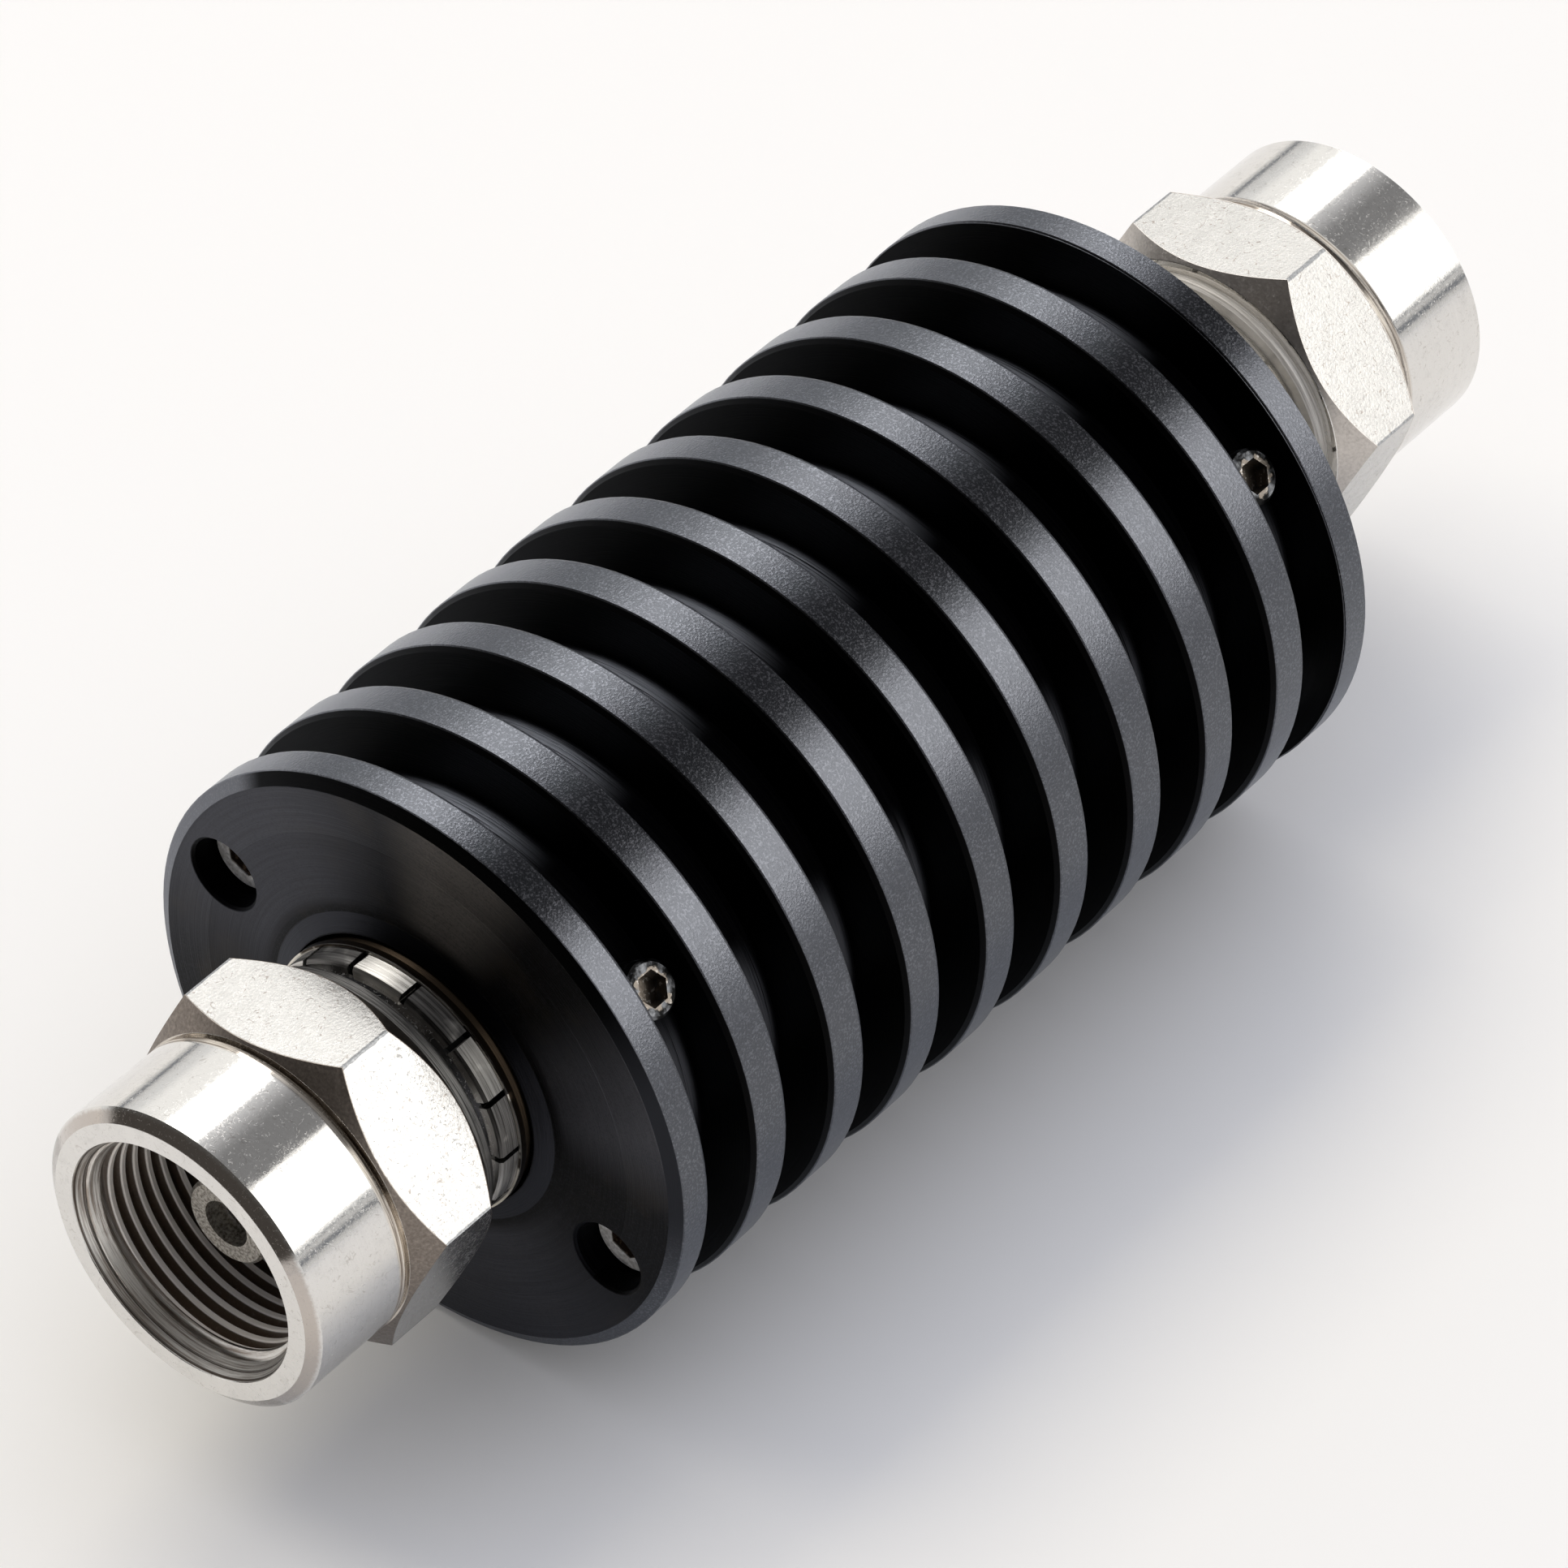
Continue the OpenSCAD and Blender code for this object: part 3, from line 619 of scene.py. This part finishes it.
def bore(nut, out):
    """Paints a nut's bore. Returns the mask of its thread."""
    in_bore = nut.times(nut.below(nut.radius, BORE_RADIUS), nut.below(out, MOUTH_OUT))
    rows = nut.marks(out, 0.12)
    colour = nut.mix(nut.step(rows, 0.35, 0.60), *BORE_TONES)
    crest = nut.times(nut.step(nut.radius, *CREST_MASK), nut.below(out, CREST_OUT))
    colour = nut.mix(nut.times(crest, 0.9), colour, CREST_PALE)
    rings = nut.group(marks_group, Along=out, Angle=0.0, Pitch=0.34)["Height"]
    lead_in = nut.times(nut.above(out, THREAD_OUT), nut.step(rings, 0.52, 0.44))
    colour = nut.mix(nut.times(lead_in, 0.92), colour, RING_BROWN)
    root = nut.times(nut.step(nut.radius, *ROOT_MASK), nut.below(out, THREAD_OUT))
    colour = nut.mix(root, colour, ROOT_BROWN)
    nut.paint(in_bore, colour)
    nut.roughen(in_bore, 0.30)
    nut.lift(nut.times(in_bore, rows, 0.010))
    return nut.times(in_bore, nut.below(out, THREAD_OUT))


def mouth_edge(nut, out, dots):
    """Rounds and tarnishes the outer edge of a nut's mouth."""
    rounding = nut.times(nut.larger(nut.minus(out, EDGE_OUT), 0.0), nut.above(nut.radius, EDGE_RADIUS))
    nut.lift(nut.times(rounding, EDGE_LEAN))
    tarnish = nut.step(nut.plus(rounding, nut.times(dots["Height"], 0.2)), 0.10, 0.30)
    nut.paint(nut.times(tarnish, 0.8), TARNISH)


print("the thread ends", round(MIDDLE_Z - THREAD_OUT, 2), "mm below the mouth")

# %% [markdown]
# The last zone of a nut is the narrow collar behind its hexagon. The two nuts share all their zones and
# differ in tone, which is painted light and shade: the near one has darker chamfers and collar, painted as
# shade, as the photograph shows it, and the far one's are painted paler as light, with slightly darker
# flats and a collar that is partly matt.

# %% looks of the two nuts
COLLAR_RADIUS = 9.58
# share of the light in the thread that is matt
THREAD_MATT = 0.85


def nut_look(name, hex_front, lit_flat_tone, lit_dull_tones, lit_collar_tones, collar_matt):
    """The plating of a nut: all its zones, then its shader."""
    nut = plated(name)
    out = nut.apart(nut.height, MIDDLE_Z)
    dots = hexagon(nut, out, hex_front, lit_flat_tone, lit_dull_tones)
    barrel_foot(nut, out, hex_front)
    in_thread = bore(nut, out)
    mouth_edge(nut, out, dots)
    collar = nut.times(nut.below(nut.radius, COLLAR_RADIUS), nut.below(out, hex_front - HEX_LENGTH + 0.05))
    # the collar's tones come per nut and hold painted light and shade
    nut.paint(collar, nut.mix(nut.step(nut.marks(out, 0.10), 0.35, 0.65), *lit_collar_tones))
    nut.roughen(collar, 0.30)
    matt = nut.larger(nut.times(in_thread, THREAD_MATT), nut.times(collar, collar_matt))
    nut.feed(nut.shader["Metallic"], nut.minus(1.0, matt))
    nut.finish()
    return nut


# each nut's tones hold painted light and shade for where it lies
near_nickel = nut_look(
    "nickel_near_nut", hex_front=48.1, lit_flat_tone=(0.60, 0.59, 0.57),
    lit_dull_tones=((0.085, 0.070, 0.060), (0.34, 0.295, 0.255)),
    lit_collar_tones=((0.055, 0.053, 0.052), (0.42, 0.41, 0.39)), collar_matt=0.0)
far_nickel = nut_look(
    "nickel_far_nut", hex_front=47.5, lit_flat_tone=(0.53, 0.52, 0.50),
    lit_dull_tones=((0.42, 0.385, 0.35), (0.78, 0.735, 0.69)),
    lit_collar_tones=((0.55, 0.52, 0.47), (0.95, 0.92, 0.87)), collar_matt=0.75)
print("a nut's look has", len(near_nickel.tree.nodes), "nodes")

# %% [markdown]
# A lock ring is brushed round its axis. Its slots leave 14 prongs, and every second one gets a painted
# darker reflection, so the prongs are counted from the angle. A band of angles on one side gets the same
# painted reflection, and the near ring's tones are painted darker as shade than the far ring's. The prongs
# spread outward, and a bump leans their skin towards the mouth. The lip below them is brown with a worn
# bright edge, and the same brown runs on below the prongs as painted shade. A slot's walls see no light, so
# the metal within its width is painted black as shade.

# %% lock rings
SLOT_COUNT = 14
SLOT_STEP = 360 / SLOT_COUNT
FIRST_SLOT = -42.3
RING_OUTER = 9.1
RING_STEP_MM = 2 * math.pi * RING_OUTER / SLOT_COUNT
# rise of a prong's skin for each millimetre towards the lip
PRONG_LEAN = 0.30
LIP_BROWN_AND_SHADE, LIP_BRIGHT, SLOT_SHADE_BLACK = (0.050, 0.036, 0.024), (0.80, 0.76, 0.68), (0.006, 0.006, 0.006)
DARK_REFLECTION_SIDE = (-150.0, -92.0, 12.0)


def ring_look(name, lip_front, dark_reflection_share, lit_prong_tones, dark_reflection_tones):
    """A lock ring's plating. lip_front is the outward height where its lip ends and its prongs begin."""
    ring = Look(name, metallic=1.0)
    out = ring.apart(ring.height, MIDDLE_Z)
    prong = ring.over(ring.minus(FIRST_SLOT, ring.degrees), SLOT_STEP)
    odd = ring.calc("FLOORED_MODULO", ring.calc("FLOOR", prong), 2.0)
    brushed = ring.step(ring.marks(ring.height, 0.12), 0.3, 0.7)
    # painted darker reflection on every second prong and on one side of the ring
    dark_reflection_side = ring.times(ring.band(ring.degrees, *DARK_REFLECTION_SIDE), 0.6)
    patches = ring.step(ring.cloud(0.5, 2.0), 0.20, 0.40)
    painted_reflection = ring.times(ring.larger(odd, dark_reflection_side), patches, dark_reflection_share)
    ring.colour = ring.mix(painted_reflection, ring.mix(brushed, *lit_prong_tones), ring.mix(brushed, *dark_reflection_tones))
    lip = ring.step(ring.radius, RING_OUTER + 0.02, RING_OUTER + 0.10)
    under_prongs = ring.step(out, lip_front, lip_front - 0.10)
    # the lip's own brown, carried on below the prongs as painted shade
    ring.paint(ring.larger(lip, under_prongs), LIP_BROWN_AND_SHADE)
    worn = ring.times(lip, ring.step(out, lip_front - 0.14, lip_front - 0.06))
    ring.paint(ring.times(worn, ring.step(brushed, 0.36, 0.52)), LIP_BRIGHT)
    off_slot = ring.times(ring.apart(prong, ring.calc("ROUND", prong)), RING_STEP_MM)
    in_slot = ring.times(ring.step(off_slot, 0.21, 0.17), ring.below(ring.radius, RING_OUTER - 0.015))
    # painted shade: the metal within a slot's width is black
    ring.paint(in_slot, SLOT_SHADE_BLACK)
    ring.rough = 0.26
    ring.roughen(brushed, 0.10)
    lean = ring.times(ring.minus(lip_front, out), PRONG_LEAN, ring.minus(1.0, lip))
    ring.relief = ring.plus(ring.times(brushed, 0.0018), lean)
    ring.finish()
    return ring


# the near ring is painted darker as shade, the far ring paler as light
near_ring = ring_look(
    "nickel_near_ring", lip_front=37.0, dark_reflection_share=0.95,
    lit_prong_tones=((0.24, 0.23, 0.21), (0.70, 0.68, 0.64)),
    dark_reflection_tones=((0.035, 0.033, 0.032), (0.17, 0.165, 0.16)))
far_ring = ring_look(
    "nickel_far_ring", lip_front=37.64, dark_reflection_share=0.25,
    lit_prong_tones=((0.60, 0.57, 0.52), (0.98, 0.95, 0.90)),
    dark_reflection_tones=((0.20, 0.19, 0.18), (0.45, 0.44, 0.42)))
print("nickel finishes:", [m.name for m in bpy.data.materials if m.name.startswith("nickel")])

# %% [markdown]
# The other pieces are small and mostly hidden: steel screws, spring rings, a brown seal, the plastic
# insulators, the silvered contacts, the aluminium cartridge and its ceramic chip. Each could have a look of
# its own, but at their size only tone and grain show, so one helper makes a grained finish for each.

# %% small finishes


def grained(name, low, high, roughness, metallic=0.0, size=0.3, depth=0.01, spread=0.5):
    """A finish that wanders between two colours in fine grain. A smaller spread gives more contrast."""
    look = Look(name, metallic)
    grain = look.grain(size, 0.4)
    look.colour = look.mix(look.step(grain["Height"], 0.5 - spread, 0.5 + spread), low, high)
    look.rough = roughness
    look.roughen(grain["Specks"], 0.12)
    look.relief = grain["Height"]
    look.finish(0.4, depth)
    return look


steel = grained("screw_steel", (0.56, 0.54, 0.51), (1.0, 0.99, 0.97), 0.36, 0.10, spread=0.22)
spring = grained("spring_steel", (0.28, 0.27, 0.25), (0.44, 0.43, 0.41), 0.30, 1.0)
seal = grained("seal_rubber", (0.030, 0.018, 0.013), (0.075, 0.045, 0.032), 0.62)
plastic = grained("insulation", (0.040, 0.037, 0.034), (0.085, 0.078, 0.070), 0.5)
silver = grained("contact_metal", (0.13, 0.112, 0.092), (0.56, 0.53, 0.475), 0.46, 0.65, 0.20, 0.02, 0.22)
aluminium = grained("plain_aluminium", (0.52, 0.53, 0.54), (0.70, 0.71, 0.72), 0.40, 1.0)
ceramic = grained("chip_ceramic", (0.74, 0.73, 0.69), (0.86, 0.85, 0.81), 0.55)
small = (steel, spring, seal, plastic, silver, aluminium, ceramic)
print("small finishes:", [look.material.name for look in small])

# %% [markdown]
# The set screws lie at the bottom of the holes in the end plates. Their faces are bright, and old grease
# has browned the sockets. The mask is a short cylinder on each screw's axis, below its face. Both screws of
# a plate lie on one line through the middle, so the absolute distance along that line serves both.

# %% browned sockets
SET_SCREW_ANGLE = math.radians(9.4)
SET_SCREW_OUT = 15.9
SET_SCREW_FACE = 31.2
# distances from a screw's axis between which the grease ends
SOCKET_MASK = (1.55, 1.45)
GREASE_TONES = ((0.075, 0.048, 0.030), (0.34, 0.245, 0.165))


def turned_axes(look, angle):
    """Distances along and across a horizontal line at an angle, and the height."""
    x, y, z = look.split(look.mm)
    cos, sin = math.cos(angle), math.sin(angle)
    return (look.plus(look.times(x, cos), look.times(y, sin)),
            look.minus(look.times(y, cos), look.times(x, sin)), z)


along_line, across_line, up = turned_axes(steel, SET_SCREW_ANGLE)
off = steel.minus(steel.calc("ABSOLUTE", along_line), SET_SCREW_OUT)
screw_depth = steel.step(steel.apart(up, SINK_MIDDLE), SET_SCREW_FACE - 0.02, SET_SCREW_FACE - 0.10)
socket = steel.times(steel.step(steel.hypotenuse(off, across_line), *SOCKET_MASK), screw_depth)
steel.paint(socket, steel.mix(steel.grain(0.30, 0.45)["Specks"], *GREASE_TONES))
steel.feed(steel.shader["Base Color"], steel.colour)
print("sockets browned", SET_SCREW_OUT, "mm from the axis")

# %% [markdown]
# The clamp screws between the end plates and the first fins are blackened steel. Tools have rubbed the edge
# of the hexagon socket back to bright metal. Both screws point the same way, so one distance from their
# axes masks both, and noise added to that distance makes the rubbed edge ragged.

# %% blackened clamp screws
SCREW_ANGLE = math.radians(-107.0)
SCREW_FROM_MIDDLE = 28.4
HEAD_TOP = 18.35
# distances from a screw's axis between which the rubbed metal ends
RUBBED_MASK = (1.26, 1.14)
OXIDE_TONES = ((0.008, 0.008, 0.008), (0.16, 0.165, 0.175))
RUBBED_TONES = ((0.20, 0.175, 0.15), (0.74, 0.71, 0.67))
SOCKET_SHADE = (0.035, 0.026, 0.018)

dark_steel = Look("blackened_steel", metallic=1.0)
outward, sideways, up = turned_axes(dark_steel, SCREW_ANGLE)
along = dark_steel.minus(dark_steel.apart(up, SINK_MIDDLE), SCREW_FROM_MIDDLE)
from_axis = dark_steel.hypotenuse(sideways, along)
grain = dark_steel.grain(0.28, 0.42)
patches = dark_steel.cloud(1.3, 4.0)
bright = dark_steel.mix(grain["Specks"], *RUBBED_TONES)
# deeper in the socket, the rubbed metal is painted dark as shade
in_socket = dark_steel.step(outward, HEAD_TOP - 0.90, HEAD_TOP - 1.50)
bright = dark_steel.mix(in_socket, bright, SOCKET_SHADE)
ragged = dark_steel.times(dark_steel.minus(patches, 0.5), 1.6)
rubbed = dark_steel.step(dark_steel.plus(from_axis, ragged), *RUBBED_MASK)
dark_steel.colour = dark_steel.mix(dark_steel.step(patches, 0.45, 0.65), *OXIDE_TONES)
dark_steel.paint(rubbed, bright)
dark_steel.rough = 0.30
dark_steel.roughen(grain["Specks"], 0.15)
dark_steel.relief = grain["Height"]
dark_steel.finish(1.0, 0.02)
print(dark_steel.material.name, "has", len(dark_steel.tree.nodes), "nodes")

# %% [markdown]
# Each CAD node comes with a plain material that names its finish. The nodes stay as they are, and only the
# materials in their slots are changed for the looks of those names. Lock rings and clamp screws have looks
# of their own.

# %% dress the CAD nodes
FINISHES = {
    "black_anodised": sink, "nickel_plate": nickel, "screw_steel": steel, "spring_steel": spring,
    "seal_rubber": seal, "insulation": plastic, "contact_metal": silver, "plain_aluminium": aluminium,
    "chip_ceramic": ceramic,
}
SPECIAL = {
    "near_lock_ring": near_ring, "far_lock_ring": far_ring,
    "near_clamp_screw": dark_steel, "far_clamp_screw": dark_steel,
}
for name, node in nodes.items():
    for slot in node.material_slots:
        look = SPECIAL.get(name, FINISHES[slot.material.name.split(".")[0]])
        slot.material = look.material
print("dressed", len(nodes), "nodes in", len(FINISHES), "finishes")

# %% [markdown]
# The CAD nuts have a plain bore at the crests of their thread. The real thread is a 60 degree groove that a
# tap cuts along a helix. A bump could suggest it, but its outline shows at the mouth, so it is modelled.
# First a V profile is spun into a long coil. It starts inside the crests and ends at the roots, which are a
# little flat, as a tap leaves them.

# %% coil that cuts a thread
THREAD_PITCH = 1.058
# the V runs from the root, in the metal, to a radius inside the bore
ROOT_R = 7.94
CLEAR_R = 7.2
FLANK = math.radians(30)
TURN_STEPS = 80
SAME_POINT = 1e-7


def coil(name, low, high):
    """A closed coil with a V section between two heights, in millimetres, that cuts the thread's groove."""
    half_root = THREAD_PITCH / 16
    half_clear = half_root + (ROOT_R - CLEAR_R) * math.tan(FLANK)
    section = [(CLEAR_R, -half_clear), (ROOT_R, -half_root), (ROOT_R, half_root), (CLEAR_R, half_clear)]
    bm = bmesh.new()
    corners = [bm.verts.new((r * MM, 0.0, (low + z) * MM)) for r, z in section]
    face = bm.faces.new(corners)
    turns = (high - low) / THREAD_PITCH
    steps = round(turns * TURN_STEPS)
    bmesh.ops.spin(bm, geom=[face, *face.edges, *face.verts], cent=(0, 0, 0), axis=(0, 0, 1),
                   dvec=(0, 0, (high - low) * MM / steps), angle=2 * math.pi * turns, steps=steps)
    start = [bm.verts.new((r * MM, 0.0, (low + z) * MM)) for r, z in section]
    bm.faces.new(start)
    bmesh.ops.remove_doubles(bm, verts=bm.verts, dist=SAME_POINT)
    bmesh.ops.recalc_face_normals(bm, faces=bm.faces)
    mesh = bpy.data.meshes.new(name)
    bm.to_mesh(mesh)
    bm.free()
    return bpy.data.objects.new(name, mesh)


print("a turn of thread rises", THREAD_PITCH, "mm")

# %% [markdown]
# The coil is taken away from a copy of the nut with an exact Boolean, as a tap would do it. The crests stay
# where CAD has them, so nothing about the fit changes. The copy rides on the nut's body and replaces the
# CAD nut, so it turns with its joint.

# %% threaded nuts
SHARP_BEND = math.radians(24)
WELD = 1e-6


def sharpened(mesh, angle):
    """Smooth shading, with every edge that bends by more than the angle kept sharp."""
    bm = bmesh.new()
    bm.from_mesh(mesh)
    bmesh.ops.remove_doubles(bm, verts=bm.verts, dist=SAME_POINT)
    for face in bm.faces:
        face.smooth = True
    for edge in bm.edges:
        edge.smooth = len(edge.link_faces) == 2 and edge.calc_face_angle(0.0) < angle
    bm.to_mesh(mesh)
    bm.free()


def threaded(node_name, piece_name, body, low, high, look):
    """A copy of a CAD nut with its thread cut between two heights."""
    bm = bmesh.new()
    bm.from_mesh(nodes[node_name].data)
    bmesh.ops.remove_doubles(bm, verts=bm.verts, dist=WELD)
    mesh = bpy.data.meshes.new(piece_name)
    bm.to_mesh(mesh)
    bm.free()
    piece = bpy.data.objects.new(piece_name, mesh)
    cutter = coil(piece_name + "_tap", low, high)
    for obj in (piece, cutter):
        scene.collection.objects.link(obj)
    cut = piece.modifiers.new("thread", "BOOLEAN")
    cut.operation, cut.solver, cut.object = "DIFFERENCE", "EXACT", cutter
    bpy.context.view_layer.update()
    done = bpy.data.meshes.new_from_object(piece.evaluated_get(bpy.context.evaluated_depsgraph_get()))
    piece.modifiers.clear()
    piece.data = done
    bpy.data.objects.remove(cutter)
    sharpened(done, SHARP_BEND)
    done.materials.clear()
    done.materials.append(look.material)
    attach(piece, body)
    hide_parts(node_name)
    print(piece_name, "has", len(done.polygons), "faces")


threaded("near_coupling_nut", "near_threaded_nut", "near_nut", 98.4, 111.6, near_nickel)
threaded("far_coupling_nut", "far_threaded_nut", "far_nut", 0.4, 13.6, far_nickel)

# %% [markdown]
# The part lies on a pale floor in the photograph, so the floor touches the fins and runs along the axis.
# Seen from behind it is clear, so other views aren't blocked. More light would make the paper whiter but
# wash out the part. So rays whose end is seen find the paper a little brighter than the lamps make it, and
# it still holds a soft shadow.

# %% floor
FLOOR_UP = Vector((0.5590, -0.8292, 0.0))
FLOOR_SIZE = 1.6
FLOOR_COLOUR = (0.85, 0.85, 0.85)
GLOW_COLOUR = (1.0, 0.975, 0.945)
GLOW = 0.08
MIDDLE = Vector((0.0, 0.0, MIDDLE_Z)) * MM
AXIS = Vector((0, 0, 1))


def is_seen(pen):
    """1 for camera, glossy and transmission rays, 0 for the rays that light matt surfaces."""
    rays = pen.node("ShaderNodeLightPath").outputs
    mirrored = pen.plus(rays["Is Glossy Ray"], rays["Is Transmission Ray"])
    return pen.clamp(pen.plus(rays["Is Camera Ray"], mirrored))


floor_mesh = bpy.data.meshes.new("floor")
bm = bmesh.new()
bmesh.ops.create_grid(bm, x_segments=1, y_segments=1, size=FLOOR_SIZE)
bm.to_mesh(floor_mesh)
bm.free()
floor = bpy.data.objects.new("floor", floor_mesh)
floor.matrix_world = turned(AXIS.cross(FLOOR_UP), AXIS, MIDDLE - FLOOR_UP * FIN_RADIUS * MM)
scene.collection.objects.link(floor)

paper = bpy.data.materials.new("floor_paper")
paper.use_nodes = True
paper.node_tree.nodes.clear()
pen = Pen(paper.node_tree)
lit = pen.node("ShaderNodeBsdfDiffuse", Color=FLOOR_COLOUR).outputs[0]
glow = pen.node("ShaderNodeEmission", Color=GLOW_COLOUR, Strength=pen.times(is_seen(pen), GLOW)).outputs[0]
front = pen.node("ShaderNodeAddShader", i0=lit, i1=glow).outputs[0]
clear = pen.node("ShaderNodeBsdfTransparent").outputs[0]
from_behind = pen.node("ShaderNodeNewGeometry").outputs["Backfacing"]
both = pen.node("ShaderNodeMixShader", i0=from_behind, i1=front, i2=clear).outputs[0]
pen.node("ShaderNodeOutputMaterial", Surface=both)
floor_mesh.materials.append(paper)
print("floor faces", [round(v, 3) for v in floor.matrix_world.to_3x3().col[2]])

# %% [markdown]
# A long soft box behind the part is the key light: it gives the soft shadow on the near side of the fins.
# What gloss sees and what lights matt surfaces are kept apart: the two cards are mirrored only, so the
# bright bands on the round surfaces can be set without a second shadow. All of them run along the part's
# axis, as the bands do.

# %% soft box and cards
CARD_WHITE = (1.0, 0.98, 0.95)
LAMPS = [
    # name, angle round the axis, width, lowest and highest z, distance, radiance, colour, only mirrored
    ("box_behind", -24.7, 0.732, -1.60, 0.72, 1.80, 3.24, (1.0, 0.895, 0.67), False),
    ("card_behind", -24.0, 0.380, -0.80, 0.10, 0.88, 3.0, CARD_WHITE, True),
    ("card_right", -107.0, 0.800, -0.85, -0.30, 0.90, 1.75, CARD_WHITE, True),
]
for name, angle, width, low, high, distance, radiance, colour, mirrored in LAMPS:
    data = bpy.data.lights.new(name, "AREA")
    data.shape, data.size, data.size_y = "RECTANGLE", width, high - low
    data.energy = radiance * math.pi * width * (high - low)
    data.color = colour
    lamp = bpy.data.objects.new(name, data)
    away = Vector((math.cos(math.radians(angle)), math.sin(math.radians(angle)), 0.0))
    place = MIDDLE + away * distance + AXIS * (low + high) / 2
    lamp.matrix_world = turned(AXIS.cross(away), AXIS, place)
    lamp.visible_diffuse = not mirrored
    lamp.visible_glossy = mirrored
    lamp.visible_camera = False
    scene.collection.objects.link(lamp)
    print(name, "watts", round(data.energy, 2))

# %% [markdown]
# The rest of the studio is pale low down and has a dark ceiling, which turns paler to the left. Bright
# metal looks like metal only when it has something dark to mirror. Walls and flags could be modelled, but
# they would stand in the way of other views, so the world's colour draws them. Directions are measured as
# shares of three axes: up from the floor, down the part's own axis, and left of it. Narrow gaps between the
# soft boxes and the paper show as thin dark lines along polished barrels.

# %% what the world shows
TO_LEFT = (0.8292, 0.5590, 0.0)
LOW_TONE, HIGH_TONE, HORIZON_TONE = (0.86, 0.86, 0.86), (1.15, 1.14, 1.12), (0.74, 0.73, 0.72)
CEILING_TONES = ((0.245, 0.245, 0.25), (0.80, 0.80, 0.82))
GAP_TONE, BEYOND_TONE = (0.19, 0.205, 0.23), (0.09, 0.085, 0.08)
# shares of up that a gap spans, and how soft its ends are
LOW_GAP, HIGH_GAP = (0.045, 0.095, 0.012), (0.160, 0.176, 0.010)

world = bpy.data.worlds.new("studio")
scene.world = world
world.use_nodes = True
world.node_tree.nodes.clear()
pen = Pen(world.node_tree)
direction = pen.node("ShaderNodeTexCoord").outputs["Generated"]
up_share = pen.dot(direction, tuple(FLOOR_UP))
down_share = pen.times(pen.split(direction)[2], -1.0)
left_share = pen.dot(direction, TO_LEFT)

studio = pen.mix(pen.step(up_share, 0.24, 0.38), LOW_TONE, HIGH_TONE)
horizon = pen.times(pen.step(up_share, 0.22, 0.10), pen.step(down_share, 0.0, 0.2))
studio = pen.mix(horizon, studio, HORIZON_TONE)
ceiling = pen.mix(pen.step(left_share, -0.02, 0.32), *CEILING_TONES)
studio = pen.mix(pen.step(up_share, 0.60, 0.74), studio, ceiling)
low_gap = pen.band(up_share, *LOW_GAP)
high_gap = pen.times(pen.band(up_share, *HIGH_GAP), pen.below(left_share, 0.0))
gaps = pen.times(pen.larger(low_gap, high_gap), pen.step(down_share, 0.20, 0.30))
studio = pen.mix(gaps, studio, GAP_TONE)
beyond_mouth = pen.times(pen.step(down_share, -0.05, -0.30), pen.step(up_share, 0.04, 0.14))
studio = pen.mix(beyond_mouth, studio, BEYOND_TONE)
print("the world shows", len(pen.tree.nodes), "nodes of studio")

# %% [markdown]
# Matt surfaces get a weaker, bluish fill instead. It comes mostly from above, and a little from the far end
# and from the left, so the floor's shadow stays soft and cool.

# %% fill light
FILL_COLOUR = (0.96, 0.975, 1.06)
LEAST_FILL, MORE_FILL = 0.06, 1.15

lit_side = pen.plus(pen.times(left_share, 0.15), pen.times(down_share, 0.45), pen.times(up_share, 0.9))
fill = pen.plus(pen.times(pen.step(lit_side, 0.1, 1.0), MORE_FILL), LEAST_FILL)
shown = pen.node("ShaderNodeBackground", Color=studio, Strength=1.0).outputs[0]
filled = pen.node("ShaderNodeBackground", Color=FILL_COLOUR, Strength=fill).outputs[0]
both = pen.node("ShaderNodeMixShader", i0=is_seen(pen), i1=filled, i2=shown).outputs[0]
pen.node("ShaderNodeOutputWorld", Surface=both)
scene.view_settings.view_transform = "Standard"
print("the fill runs from", LEAST_FILL, "to", LEAST_FILL + MORE_FILL)

# %% [markdown]
